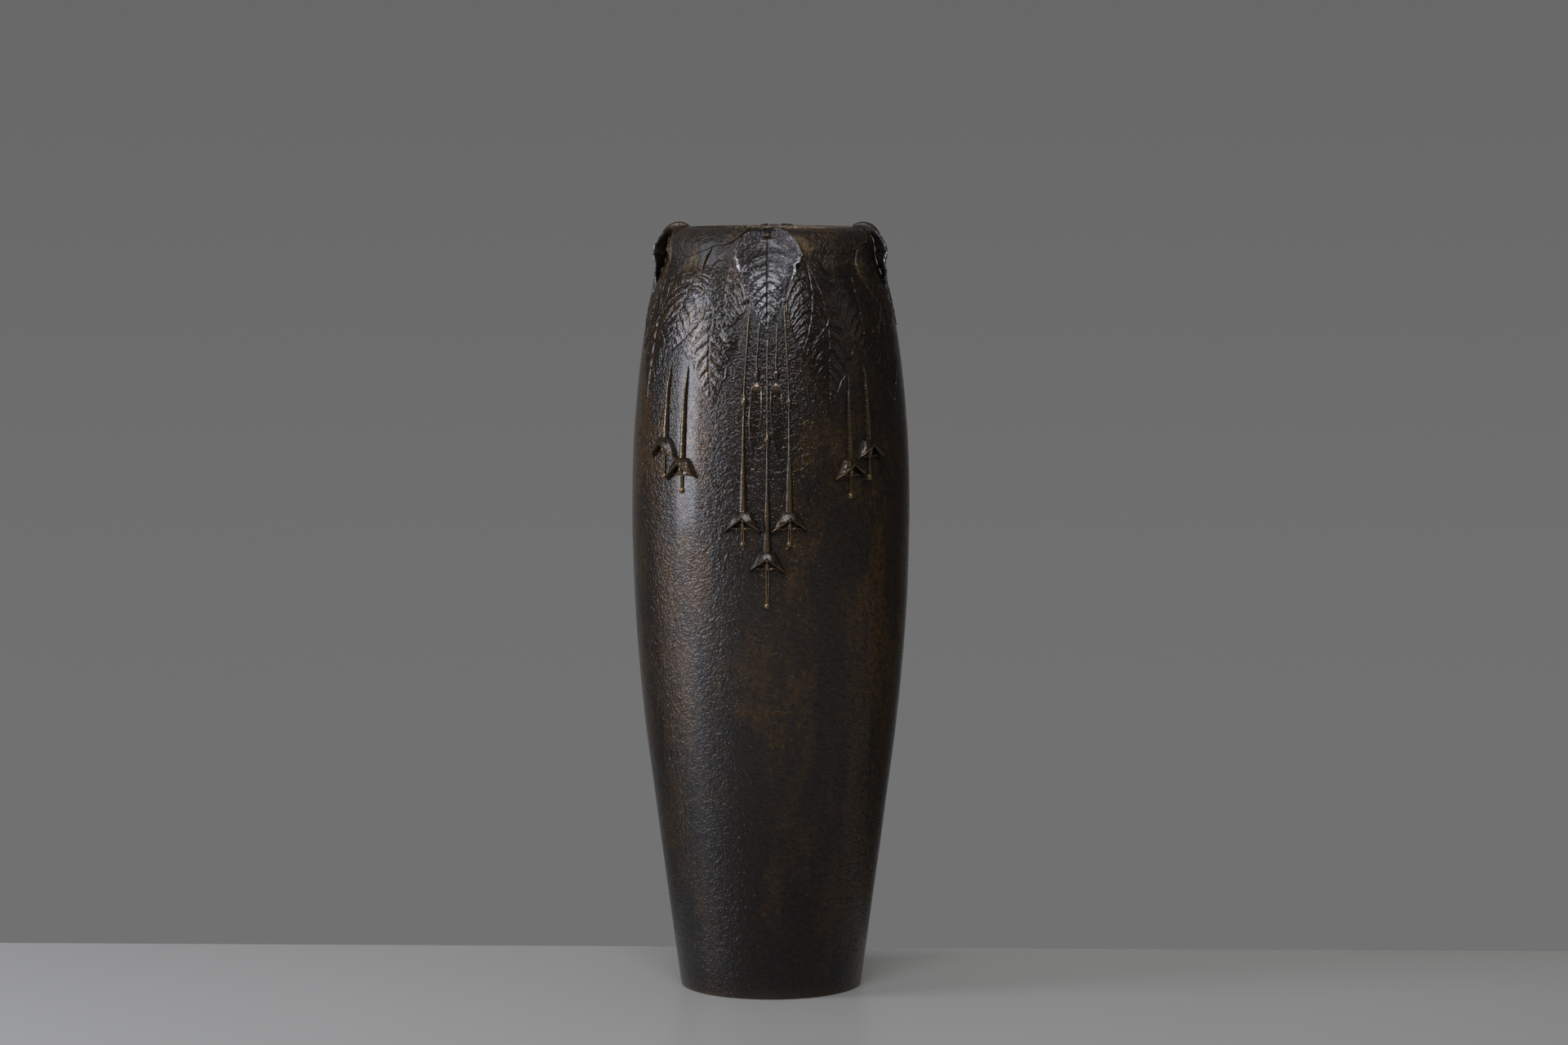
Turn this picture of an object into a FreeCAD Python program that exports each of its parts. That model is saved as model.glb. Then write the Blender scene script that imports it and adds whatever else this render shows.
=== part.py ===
# A tall cast bronze vase, in millimetres, with leaves and hanging blossoms laid on in relief.
# The origin is the middle of the foot, on the surface it stands on, with +Z up.
# Azimuth 0 is the front, at -Y, and azimuth grows towards +X.
import FreeCAD, Part
import math
import os

import Sketcher

Vector = FreeCAD.Vector

# Driving sizes: each one becomes a named cell of the sheet.
SIZES = {
    # the wall
    "rim_height": 445.0,
    "belly_height": 286.0,
    "belly_radius": 81.0,
    "foot_radius": 53.0,
    "neck_radius": 60.4,
    "neck_hollow": 26.0,
    "rim_roll": 13.0,
    "lip_reach": 1.4,
    "wall_thickness": 3.0,
    "lip_rounding": 1.2,
    # the foot and the plate let into it
    "foot_ring_width": 4.5,
    "foot_ring_height": 8.0,
    "plate_thickness": 3.0,
    "plate_recess": 2.0,
    "plate_ledge": 1.5,
    "plate_clearance": 0.1,
    # what is laid on the wall
    "seat_gap": 0.28,
    "relief_height": 1.3,
    "margin_height": 0.6,
    "midrib_height": 0.8,
    "flank_leaf_width": 22.5,
    "low_leaf_width": 28.0,
    "corner_leaf_width": 28.0,
    # the four leaves that stand off the rim
    "rim_leaf_width": 35.0,
    "rim_leaf_lift": 8.5,
    "rim_leaf_thickness": 1.8,
    "petiole_width": 4.6,
    "petiole_height": 7.7,
    "petiole_length": 12.9,
    "petiole_clearance": 1.2,
    "twig_width": 2.4,
    "twig_height": 1.5,
    "twig_step": 4.0,
    # the hanging blossoms and buds
    "stem_width": 1.5,
    "stem_height": 1.1,
    "stem_step": 20.0,
    "ovary_length": 6.7,
    "ovary_width": 3.8,
    "ovary_height": 2.4,
    "tube_width": 4.8,
    "tube_height": 2.2,
    "blossom_width": 20.5,
    "blossom_length": 11.5,
    "blossom_height": 5.2,
    "pistil_width": 2.2,
    "pistil_height": 1.6,
    "knob_width": 3.2,
    "bud_width": 6.6,
    "bud_height": 3.0,
}

# How flat the two long bows of the wall are, against the arc that would just join their ends.
LOWER_BOW_SHARE = 0.78
UPPER_BOW_SHARE = 1.295
# How much tighter the shoulder's bow is than the upper one.
SHOULDER_BOW_SHARE = 0.277

# The four main sides, the two of them that blossoms hang on, and the four corners between.
MAIN_SIDES = {"front": 0.0, "right": 90.0, "back": 180.0, "left": 270.0}
BLOSSOMING_SIDES = ("front", "back")
CORNERS = {
    "front_left": (-45.0, "leaning"),
    "front_right": (45.0, "upright"),
    "back_right": (135.0, "leaning"),
    "back_left": (225.0, "upright"),
}

# Outlines of the leaves from base to tip: how far down, how wide against the full width, and
# how puffed up the panels between the veins are.
SAW_LEAF_SHARES = (
    (0.05, 0.46, 0.75),
    (0.20, 0.93, 1.00),
    (0.29, 0.86, 0.80),
    (0.41, 1.00, 1.00),
    (0.50, 0.86, 0.80),
    (0.62, 0.88, 1.00),
    (0.72, 0.62, 0.80),
    (0.83, 0.52, 0.90),
    (0.93, 0.22, 0.75),
)
TUCKED_LEAF_SHARES = (
    (0.08, 0.16, 0.75),
    (0.22, 0.46, 0.95),
    (0.40, 0.90, 1.00),
    (0.48, 1.00, 0.85),
    (0.60, 0.80, 1.00),
    (0.67, 0.76, 0.80),
    (0.80, 0.46, 0.95),
    (0.92, 0.20, 0.75),
)
# The rim leaf: how far down, how wide, and how far its margin stands off the wall.
RIM_LEAF_SHARES = (
    (0.04, 0.46, 0.60),
    (0.09, 0.72, 0.82),
    (0.145, 0.88, 0.94),
    (0.20, 0.93, 0.98),
    (0.28, 1.00, 1.00),
    (0.36, 0.92, 0.92),
    (0.46, 0.88, 0.72),
    (0.56, 0.68, 0.46),
    (0.66, 0.60, 0.26),
    (0.78, 0.40, 0.12),
    (0.91, 0.16, 0.05),
)
RIM_LEAF_BASE_SHARE = 0.45
RIM_LEAF_TIP_SHARE = 0.872
RIM_LEAF_FOLD_SHARE = 0.30
# The stalk over the rim: how far along, how high its back is, and how wide, from its root.
PETIOLE_SHARES = (
    (0.13, 0.12, 0.55),
    (0.26, 0.44, 0.85),
    (0.42, 0.66, 0.95),
    (0.58, 0.80, 1.00),
    (0.72, 0.90, 1.00),
    (1.00, 1.00, 0.92),
)
PETIOLE_LIFTED_SHARE = 0.70
STALK_SHARES = ((-1.0, 0.35), (-0.6, 1.0), (0.6, 1.0), (1.0, 0.35))
STALK_FLAT_SHARES = (0.7, -0.7)

# Leaves on the wall: azimuth of base, middle and tip in degrees from their side, then the
# heights of base and tip as shares of the rim's height.
FLANK_LEAF_SHARES = {
    "left": (-17.5, -20.0, -18.2, 0.9700, 0.8700),
    "right": (19.5, 20.4, 12.9, 0.9640, 0.8370),
}
LOW_LEAF_SHARES = {
    "left": (-27.5, -25.8, -23.4, 0.8960, 0.7810),
    "right": (30.2, 27.8, 26.6, 0.8920, 0.7780),
}
CORNER_LEAF_SHARES = {
    "leaning": (7.5, 0.4, -2.6, 0.9540, 0.8410),
    "upright": (1.8, 2.2, 3.8, 0.9540, 0.8340),
}

# Twigs from beside each petiole along the shoulder: azimuth, height as a share of the rim's.
TWIG_SHARES = {
    "left": ((-5.0, 0.9995), (-15.6, 0.9890), (-22.0, 0.9800), (-33.0, 0.9640), (-42.0, 0.9585),
             (-52.0, 0.9540)),
    "right": ((5.0, 0.9995), (14.0, 0.9905), (20.0, 0.9780), (26.0, 0.9610), (32.0, 0.9480)),
}
TWIG_TAPER_SHARE = 0.55
# Across a twig: place across and height, over the top and back underneath.
TWIG_RING_SHARES = ((-1.0, 0.0), (-0.55, 0.8), (0.3, 1.0), (1.0, 0.0), (0.0, 0.0))

# Hanging blossoms: azimuth of top and blossom in degrees from their side, then the heights of
# the stem's top, the ovary's middle, the blossom's crown and the knob's end.
MAIN_BLOSSOM_SHARES = {
    "outer_left": (-8.0, -9.4, 0.9030, 0.7810, 0.6420, 0.5970),
    "centre": (0.3, 0.3, 0.8600, 0.7315, 0.5910, 0.5175),
    "outer_right": (8.0, 9.2, 0.9020, 0.7810, 0.6420, 0.5970),
}
CORNER_BLOSSOM_SHARES = {
    "leaning": {
        "outer": (-1.4, -1.8, 0.8300, 0.8000, 0.7330, 0.6786),
        "inner": (8.6, 8.2, 0.8270, 0.7960, 0.7080, 0.6625),
    },
    "upright": {
        "outer": (0.8, 0.6, 0.8240, 0.7990, 0.7310, 0.6786),
        "inner": (-8.4, -9.4, 0.8150, 0.7900, 0.7080, 0.6560),
    },
}
BUD_SHARES = {
    "left": (-3.4, -4.2, 0.8815, 0.8160, 0.7056),
    "right": (4.6, 4.0, 0.8815, 0.8160, 0.7056),
}

# Places across a leaf, from one margin over the midrib to the other.
ACROSS_LEAF_SHARES = (-1.0, -0.5, 0.0, 0.5, 1.0)
# Across a stem, tube or blossom: place across and height, over the top and back underneath.
CROWNED_SHARES = ((-1.0, 0.0), (-0.55, 0.78), (0.0, 1.0), (0.55, 0.78), (1.0, 0.0))
UNDERSIDE_SHARES = (0.55, 0.0, -0.55)
# The blossom below its crown: down, across and height of a ring, as shares of the blossom's
# own length, width and height.
BLOSSOM_FLARE_SHARES = (0.30, 0.60, 0.86)
BLOSSOM_MOUTH_SHARES = (0.74, 0.32, 0.34)
# The lower edge of the blossom dips at the two side sepals and at the one in front.
SEPAL_DIP_SHARES = (1.00, 0.78, 0.90, 0.78, 1.00)
PETAL_ROOT_SHARE = 0.62
SEPAL_EDGE_SHARE = 0.12
# An ovary is widest this far above its middle, as a share of half its length.
OVARY_WIDEST_SHARE = 1 / 3
# A knob's height against the pistil's, and the swelling of a bud: how far down, width, height.
KNOB_HEIGHT_SHARE = 1.4
BUD_SWELL_SHARES = ((0.22, 0.80, 0.90), (0.50, 1.00, 1.00), (0.80, 0.70, 0.70))
# How close an edge has to lie to the lip's radius to be rounded, against the wall.
LIP_CLOSE_SHARE = 0.01


def make_sheet(document):
    """The sheet of driving sizes, one named cell each."""
    sheet = document.addObject("Spreadsheet::Sheet", "Sizes")
    for row, (name, value) in enumerate(SIZES.items(), start=1):
        sheet.set(f"A{row}", name)
        sheet.set(f"B{row}", str(value))
        sheet.setAlias(f"B{row}", name)
    document.recompute()
    return sheet


class Contour:
    """The outer face of the wall, followed down from the crest of the rolled rim."""

    def __init__(self, size):
        self.crest_radius = size("neck_radius") - size("rim_roll")
        self.rim_height = size("rim_height")
        self.belly_height = size("belly_height")
        self.foot_radius = size("foot_radius")
        self.roll = size("rim_roll")
        self.hollow = size("neck_hollow")
        drawn_in = size("belly_radius") - size("foot_radius")
        lower_joining = (self.belly_height ** 2 + drawn_in ** 2) / (2 * drawn_in)
        self.lower = LOWER_BOW_SHARE * lower_joining
        waist_height = self.rim_height - self.roll
        rise = waist_height - self.belly_height
        necked = size("belly_radius") - size("neck_radius")
        upper_joining = (rise ** 2 + necked ** 2) / (2 * necked)
        self.upper = UPPER_BOW_SHARE * (upper_joining - self.hollow)
        self.shoulder = SHOULDER_BOW_SHARE * self.upper

        self.roll_centre = (self.crest_radius, waist_height)
        self.hollow_centre = (size("neck_radius") + self.hollow, waist_height)
        self.upper_centre = (size("belly_radius") - self.upper, self.belly_height)
        self.lower_centre = (size("belly_radius") - self.lower, self.belly_height)
        self.shoulder_centre = self._touching_both()
        self.shoulder_top = self._bearing(self.shoulder_centre, self.hollow_centre)
        self.shoulder_foot = self._bearing(self.upper_centre, self.shoulder_centre)
        away = math.hypot(self.foot_radius - self.lower_centre[0], self.belly_height)
        self.lower_end = math.atan2(
            -self.belly_height, self.foot_radius - self.lower_centre[0]
        ) + math.acos(self.lower / away)
        self.spans = (
            (self.roll_centre, self.roll, math.pi / 2, 0.0, 1),
            (self.hollow_centre, self.hollow, math.pi, math.pi + self.shoulder_top, -1),
            (self.shoulder_centre, self.shoulder, self.shoulder_top, self.shoulder_foot, 1),
            (self.upper_centre, self.upper, self.shoulder_foot, 0.0, 1),
            (self.lower_centre, self.lower, 0.0, self.lower_end, 1),
        )

    def _touching_both(self):
        """Centre of the shoulder's circle: inside the upper bow, outside the neck's hollow."""
        across = self.hollow_centre[0] - self.upper_centre[0]
        rise = self.hollow_centre[1] - self.upper_centre[1]
        apart = math.hypot(across, rise)
        from_upper = self.upper - self.shoulder
        from_hollow = self.shoulder + self.hollow
        along = (from_upper ** 2 - from_hollow ** 2 + apart ** 2) / (2 * apart)
        aside = math.sqrt(from_upper ** 2 - along ** 2)
        return (
            self.upper_centre[0] + (along * across + aside * rise) / apart,
            self.upper_centre[1] + (along * rise - aside * across) / apart,
        )

    @staticmethod
    def _bearing(start, end):
        """Angle of the line from one centre to another."""
        return math.atan2(end[1] - start[1], end[0] - start[0])

    def at(self, drop):
        """Radius, height and outward normal at a distance down the contour from the crest."""
        if drop < 0:
            return self.crest_radius + drop, self.rim_height, 0.0, 1.0
        for centre, radius, start, end, side in self.spans:
            length = radius * abs(end - start)
            if drop <= length:
                angle = start + (end - start) * drop / length
                out, up = math.cos(angle), math.sin(angle)
                return centre[0] + radius * out, centre[1] + radius * up, side * out, side * up
            drop -= length
        raise ValueError("below the lower bow")

    def drop_at(self, height):
        """Distance down the contour from the crest to a height."""
        passed = 0.0
        for centre, radius, start, end, side in self.spans:
            if height >= centre[1] + radius * math.sin(end):
                slope = math.asin(max(-1.0, min(1.0, (height - centre[1]) / radius)))
                angle = slope if side > 0 else math.pi - slope
                return passed + radius * abs(angle - start)
            passed += radius * abs(end - start)
        raise ValueError("below the lower bow")

    def point(self, azimuth, drop, lift, aside=0.0):
        """A point over the wall: degrees round, distance down, height over it, width aside."""
        radius, height, out, up = self.at(drop)
        turned = math.radians(azimuth) + aside / radius
        reach = radius + out * lift
        return Vector(reach * math.sin(turned), -reach * math.cos(turned), height + up * lift)


def skin(rings):
    """A closed solid over rings of points, flat ended, or pointed where a ring is one point."""
    faces = []
    for upper, lower in zip(rings, rings[1:]):
        count = max(len(upper), len(lower))
        for index in range(count):
            ahead = (index + 1) % count
            if len(upper) > 1:
                faces.append((upper[index], lower[index % len(lower)], upper[ahead]))
            if len(lower) > 1:
                faces.append((upper[ahead % len(upper)], lower[index], lower[ahead]))
    ends = [ring for ring in (rings[0], rings[-1]) if len(ring) > 1]
    faces = [Part.Face(Part.makePolygon([*corners, corners[0]])) for corners in faces]
    for ring in ends:
        middle = sum(ring, Vector()) * (1 / len(ring))
        for index, corner in enumerate(ring):
            faces.append(Part.Face(Part.makePolygon(
                [corner, ring[(index + 1) % len(ring)], middle, corner])))
    solid = Part.Solid(Part.Shell(faces))
    if solid.Volume < 0:
        solid.reverse()
    return solid


def put_node(document, label, shape, turn=0.0):
    """One sub-part of the vase, turned round the vase's axis to its own side."""
    node = document.addObject("Part::Feature", label)
    node.Label = label
    node.Shape = shape
    node.Placement = FreeCAD.Placement(Vector(), FreeCAD.Rotation(Vector(0, 0, 1), turn))
    return node


# A sketch numbers a curve's start and its end, and after them an arc's centre.
CURVE_ENDS = range(1, 3)


def make_sketch(body, name):
    """A sketch on the body's own upright plane, radius along its X and height along its Y."""
    sketch = body.newObject("Sketcher::SketchObject", name)
    plane = next(f for f in body.Origin.OriginFeatures if f.Role == "XZ_Plane")
    sketch.AttachmentSupport = [(plane, "")]
    sketch.MapMode = "FlatFace"
    return sketch


def spin(body, sketch, name):
    """A full turn of the sketch round the body's upright axis."""
    turned = body.newObject("PartDesign::Revolution", name)
    turned.Profile = sketch
    turned.ReferenceAxis = (sketch, ["V_Axis"])
    turned.Angle = 360.0
    sketch.Visibility = False
    return turned


def contour_curves(contour, inwards):
    """The contour from crest to foot, moved inwards by a wall, as sketch curves in order."""
    curves = []
    for centre, radius, start, end, side in contour.spans:
        first, last = min(start, end), max(start, end)
        middle = Vector(centre[0], centre[1], 0)
        circle = Part.Circle(middle, Vector(0, 0, 1), radius - side * inwards)
        curves.append(Part.ArcOfCircle(circle, first, last))
    centre, radius, _, end, _ = contour.spans[-1]
    out, up = math.cos(end), math.sin(end)
    top = Vector(centre[0] + (radius - inwards) * out, centre[1] + (radius - inwards) * up, 0)
    slope = Vector(up, -out, 0)
    foot = top + slope * (top.y / out)
    curves.append(Part.LineSegment(top, foot))
    return curves, foot


def make_vessel_wall(document, size, contour):
    """The wall: one turned section, with a foot ring, a rebate below it and a rounded lip."""
    body = document.addObject("PartDesign::Body", "vessel_wall")
    body.Label = "vessel_wall"
    sketch = make_sketch(body, "wall_section")
    thickness = size("wall_thickness")
    outer, outer_foot = contour_curves(contour, 0.0)
    inner, inner_foot = contour_curves(contour, thickness)
    outer_ids = sketch.addGeometry(outer, False)
    inner_ids = sketch.addGeometry(inner, False)
    lip_radius = contour.crest_radius - size("lip_reach")
    crest, rim = contour.crest_radius, contour.rim_height
    lip = [
        Vector(crest, rim, 0),
        Vector(lip_radius, rim, 0),
        Vector(lip_radius, rim - thickness, 0),
        Vector(crest, rim - thickness, 0),
    ]
    lip_ids = sketch.addGeometry(
        [Part.LineSegment(first, last) for first, last in zip(lip, lip[1:])], False)
    foot_id = sketch.addGeometry(Part.LineSegment(outer_foot, inner_foot), False)
    tie_section(sketch, outer_ids, inner_ids, lip_ids, foot_id)
    document.recompute()
    spin(body, sketch, "wall_turned")

    ring = make_sketch(body, "foot_ring_section")
    ring_outer, ring_top = size("foot_radius"), size("foot_ring_height")
    ring_inner = ring_outer - size("foot_ring_width")
    add_rectangle(ring, {
        "outer": (ring_outer, "Sizes.foot_radius"),
        "inner": (ring_inner, "Sizes.foot_radius - Sizes.foot_ring_width"),
        "upper": (ring_top, "Sizes.foot_ring_height"),
        "lower": (0.0, None),
    })
    document.recompute()
    spin(body, ring, "foot_ring")

    rebate = make_sketch(body, "rebate_section")
    add_rectangle(rebate, {
        "outer": (ring_inner + size("plate_ledge"),
                  "Sizes.foot_radius - Sizes.foot_ring_width + Sizes.plate_ledge"),
        "inner": (0.0, None),
        "upper": (size("plate_recess") + size("plate_thickness"),
                  "Sizes.plate_recess + Sizes.plate_thickness"),
        "lower": (0.0, None),
    })
    document.recompute()
    cut = body.newObject("PartDesign::Groove", "plate_rebate")
    cut.Profile = rebate
    cut.ReferenceAxis = (rebate, ["V_Axis"])
    cut.Angle = 360.0
    rebate.Visibility = False
    document.recompute()

    rounding = body.newObject("PartDesign::Fillet", "rounded_lip")
    rounding.Base = (cut, lip_edges(cut.Shape, lip_radius, contour, thickness))
    rounding.setExpression("Radius", "Sizes.lip_rounding")
    document.recompute()
    body.Tip = rounding
    return body


# The radii at which the long bows would just join their ends.
BOW_JOINING = {
    "lower": ("(Sizes.belly_height ^ 2 + (Sizes.belly_radius - Sizes.foot_radius) ^ 2)"
              " / (2 * (Sizes.belly_radius - Sizes.foot_radius))"),
    "upper": ("((Sizes.rim_height - Sizes.rim_roll - Sizes.belly_height) ^ 2"
              " + (Sizes.belly_radius - Sizes.neck_radius) ^ 2)"
              " / (2 * (Sizes.belly_radius - Sizes.neck_radius)) - Sizes.neck_hollow"),
}


def meeting_ends(sketch, above, below):
    """Which end of one curve lies on which end of the next."""
    pairs = [(first, last) for first in CURVE_ENDS for last in CURVE_ENDS]
    return min(pairs, key=lambda ends: sketch.getPoint(above, ends[0]).distanceToPoint(
        sketch.getPoint(below, ends[1])))


def tie_section(sketch, outer, inner, lip, foot):
    """Holds the section: arcs that touch, two faces on the same centres, and named sizes."""
    tie = Sketcher.Constraint
    start, end = CURVE_ENDS
    centre = end + start
    crest, hollow, shoulder, upper, lower, skirt = outer
    ties = []
    for chain in (outer, inner):
        for above, below in zip(chain, chain[1:]):
            above_end, below_end = meeting_ends(sketch, above, below)
            ties.append(tie("Tangent", above, above_end, below, below_end))
        ties.append(tie("Vertical", chain[0], end, chain[0], centre))
    for outer_arc, inner_arc in zip(outer[:-1], inner[:-1]):
        ties.append(tie("Coincident", outer_arc, centre, inner_arc, centre))
    ties += [
        tie("Horizontal", crest, centre, hollow, centre),
        tie("Horizontal", upper, start, upper, centre),
        tie("PointOnObject", skirt, end, -1),
        tie("Coincident", crest, end, lip[0], start),
        tie("Coincident", lip[0], end, lip[1], start),
        tie("Coincident", lip[1], end, lip[2], start),
        tie("Coincident", lip[2], end, inner[0], end),
        tie("Horizontal", lip[0]),
        tie("Vertical", lip[1]),
        tie("Horizontal", lip[2]),
        tie("Coincident", skirt, end, foot, start),
        tie("Coincident", foot, end, inner[-1], end),
        tie("Perpendicular", skirt, foot),
        tie("Parallel", skirt, inner[-1]),
    ]
    sketch.addConstraint(ties)
    named_radius(sketch, "roll", crest, "Sizes.rim_roll")
    named_radius(sketch, "roll_inside", inner[0], "Sizes.rim_roll - Sizes.wall_thickness")
    named_radius(sketch, "hollow", hollow, "Sizes.neck_hollow")
    upper_bow = f"{UPPER_BOW_SHARE} * ({BOW_JOINING['upper']})"
    named_radius(sketch, "shoulder", shoulder, f"{SHOULDER_BOW_SHARE} * {upper_bow}")
    named_radius(sketch, "upper_bow", upper, upper_bow)
    named_radius(sketch, "lower_bow", lower, f"{LOWER_BOW_SHARE} * {BOW_JOINING['lower']}")
    named_place(sketch, "crest_out", "DistanceX", crest, centre,
                "Sizes.neck_radius - Sizes.rim_roll")
    named_place(sketch, "crest_up", "DistanceY", crest, centre, "Sizes.rim_height - Sizes.rim_roll")
    named_place(sketch, "belly_out", "DistanceX", upper, start, "Sizes.belly_radius")
    named_place(sketch, "belly_up", "DistanceY", upper, start, "Sizes.belly_height")
    named_place(sketch, "foot_out", "DistanceX", skirt, end, "Sizes.foot_radius")
    named_place(sketch, "lip_out", "DistanceX", lip[1], start,
                "Sizes.neck_radius - Sizes.rim_roll - Sizes.lip_reach")


def named_radius(sketch, name, arc, expression):
    """A radius bound to the sheet, at the size that the arc already has."""
    index = sketch.addConstraint(
        Sketcher.Constraint("Radius", arc, sketch.Geometry[arc].Radius))
    sketch.renameConstraint(index, name)
    sketch.setExpression(f"Constraints.{name}", expression)


def named_place(sketch, name, kind, curve, end, expression):
    """A distance from the origin bound to the sheet, at the place that the point already has."""
    point = sketch.getPoint(curve, end)
    value = point.x if kind == "DistanceX" else point.y
    index = sketch.addConstraint(Sketcher.Constraint(kind, -1, 1, curve, end, value))
    sketch.renameConstraint(index, name)
    sketch.setExpression(f"Constraints.{name}", expression)


def add_rectangle(sketch, sides):
    """A rectangle in a sketch whose four sides stand at named radii and heights."""
    left, right = sides["inner"][0], sides["outer"][0]
    low, high = sides["lower"][0], sides["upper"][0]
    corners = [Vector(left, low, 0), Vector(right, low, 0), Vector(right, high, 0),
               Vector(left, high, 0)]
    ids = sketch.addGeometry(
        [Part.LineSegment(corners[i], corners[(i + 1) % 4]) for i in range(4)], False)
    tie = Sketcher.Constraint
    sketch.addConstraint([tie("Coincident", ids[i], 2, ids[(i + 1) % 4], 1) for i in range(4)])
    sketch.addConstraint([tie("Horizontal", ids[0]), tie("Horizontal", ids[2]),
                          tie("Vertical", ids[1]), tie("Vertical", ids[3])])
    places = (
        ("inner", "DistanceX", ids[0], 1),
        ("outer", "DistanceX", ids[0], 2),
        ("lower", "DistanceY", ids[0], 1),
        ("upper", "DistanceY", ids[2], 1),
    )
    for side, kind, line, end in places:
        expression = sides[side][1]
        if expression:
            named_place(sketch, side, kind, line, end, expression)
        else:
            axis = -2 if kind == "DistanceX" else -1
            sketch.addConstraint(tie("PointOnObject", line, end, axis))


def lip_edges(shape, lip_radius, contour, thickness):
    """Names of the two round edges at the mouth."""
    names = []
    close = LIP_CLOSE_SHARE * thickness
    for index, edge in enumerate(shape.Edges, start=1):
        box = edge.BoundBox
        at_lip = box.ZLength < close and abs(box.XMax - lip_radius) < close
        if at_lip and box.ZMin > contour.rim_height - contour.roll:
            names.append(f"Edge{index}")
    return names


def make_bottom_plate(document, size):
    """The round plate let into the foot from below, against the shoulder of the rebate."""
    body = document.addObject("PartDesign::Body", "bottom_plate")
    body.Label = "bottom_plate"
    sketch = make_sketch(body, "plate_section")
    radius = (size("foot_radius") - size("foot_ring_width") + size("plate_ledge")
              - size("plate_clearance"))
    add_rectangle(sketch, {
        "outer": (radius, "Sizes.foot_radius - Sizes.foot_ring_width + Sizes.plate_ledge"
                          " - Sizes.plate_clearance"),
        "inner": (0.0, None),
        "lower": (size("plate_recess"), "Sizes.plate_recess"),
        "upper": (size("plate_recess") + size("plate_thickness"),
                  "Sizes.plate_recess + Sizes.plate_thickness"),
    })
    document.recompute()
    spin(body, sketch, "plate_turned")
    return body


def laid_leaf(size, contour, place, width, outline):
    """A leaf that lies on the wall: sunk midrib, puffed panels, thin saw-toothed margins."""
    base_azimuth, middle_azimuth, tip_azimuth, base_share, tip_share = place
    base = contour.drop_at(base_share * contour.rim_height)
    tip = contour.drop_at(tip_share * contour.rim_height)
    gap, margin = size("seat_gap"), size("margin_height")
    ridge, midrib = size("relief_height"), size("midrib_height")

    def centre(share):
        bend = middle_azimuth - (base_azimuth + tip_azimuth) / 2
        return base_azimuth + (tip_azimuth - base_azimuth) * share + bend * 4 * share * (1 - share)

    rings = [[contour.point(base_azimuth, base, gap)]]
    for down, across, puff in outline:
        half = across * width / 2
        drop = base + (tip - base) * down
        lifts = (margin, ridge * puff, midrib, ridge * puff, margin)
        top = [contour.point(centre(down), drop, gap + lift, half * aside)
               for aside, lift in zip(ACROSS_LEAF_SHARES, lifts)]
        under = [contour.point(centre(down), drop, gap, half * aside)
                 for aside in reversed(ACROSS_LEAF_SHARES)]
        rings.append(top + under)
    rings.append([contour.point(tip_azimuth, tip, gap)])
    return skin(rings)


def rim_leaf(size, contour):
    """A leaf folded like a gutter over the rim, midrib on the wall, margins standing off."""
    base = RIM_LEAF_BASE_SHARE * contour.roll * math.pi / 2
    tip = contour.drop_at(RIM_LEAF_TIP_SHARE * contour.rim_height)
    gap, thickness = size("seat_gap"), size("rim_leaf_thickness")
    rings = [[contour.point(0.0, base, gap + thickness / 2)]]
    for down, across, stand in RIM_LEAF_SHARES:
        drop = base + (tip - base) * down
        half = across * size("rim_leaf_width") / 2
        margin = stand * size("rim_leaf_lift")
        lifts = (margin, margin * RIM_LEAF_FOLD_SHARE, 0.0, margin * RIM_LEAF_FOLD_SHARE, margin)
        top = [contour.point(0.0, drop, gap + thickness + lift, half * aside)
               for aside, lift in zip(ACROSS_LEAF_SHARES, lifts)]
        under = [contour.point(0.0, drop, gap + lift, half * aside)
                 for aside, lift in zip(reversed(ACROSS_LEAF_SHARES), lifts)]
        rings.append(top + under)
    rings.append([contour.point(0.0, tip, gap + thickness / 2)])
    return skin(rings)


def crowned_ring(contour, azimuth, drop, half, height, gap):
    """A ring across a stem: crowned over the top, close along the wall underneath."""
    top = [contour.point(azimuth, drop, gap + height * up, half * across)
           for across, up in CROWNED_SHARES]
    under = [contour.point(azimuth, drop, gap, half * across) for across in UNDERSIDE_SHARES]
    return top + under


def follow(contour, stations, gap, longest):
    """Rings along stations of azimuth, drop, half width and height, at most a step apart."""
    rings = [crowned_ring(contour, *stations[0], gap)]
    for start, end in zip(stations, stations[1:]):
        steps = math.ceil((end[1] - start[1]) / longest)
        for step in range(1, steps + 1):
            share = step / steps
            place = (a + (b - a) * share for a, b in zip(start, end))
            rings.append(crowned_ring(contour, *place, gap))
    return rings


def stem_and_ovary(size, top_azimuth, azimuth, top, ovary):
    """Stations from a stem's top down to the lower end of its ovary."""
    stem, height, half_ovary = size("stem_width") / 2, size("stem_height"), size("ovary_length") / 2
    widest = ovary - OVARY_WIDEST_SHARE * half_ovary
    return [
        (top_azimuth, top, stem, height),
        (azimuth, ovary - half_ovary, stem, height),
        (azimuth, widest, size("ovary_width") / 2, size("ovary_height")),
        (azimuth, ovary + half_ovary, stem, height),
    ]


def hanging_blossom(size, contour, place):
    """Stem, ovary, flaring tube, bell of sepals and petals, and a pistil with its knob."""
    top_azimuth, azimuth, *shares = place
    top, ovary, crown, end = (contour.drop_at(share * contour.rim_height) for share in shares)
    gap = size("seat_gap")
    stations = stem_and_ovary(size, top_azimuth, azimuth, top, ovary)
    stations.append((azimuth, crown, size("tube_width") / 2, size("tube_height")))
    tip = [contour.point(top_azimuth, top - size("stem_width") / 2, gap)]
    rings = [tip] + follow(contour, stations, gap, size("stem_step"))
    return skin(rings + blossom_rings(size, contour, azimuth, crown, end))


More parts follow.
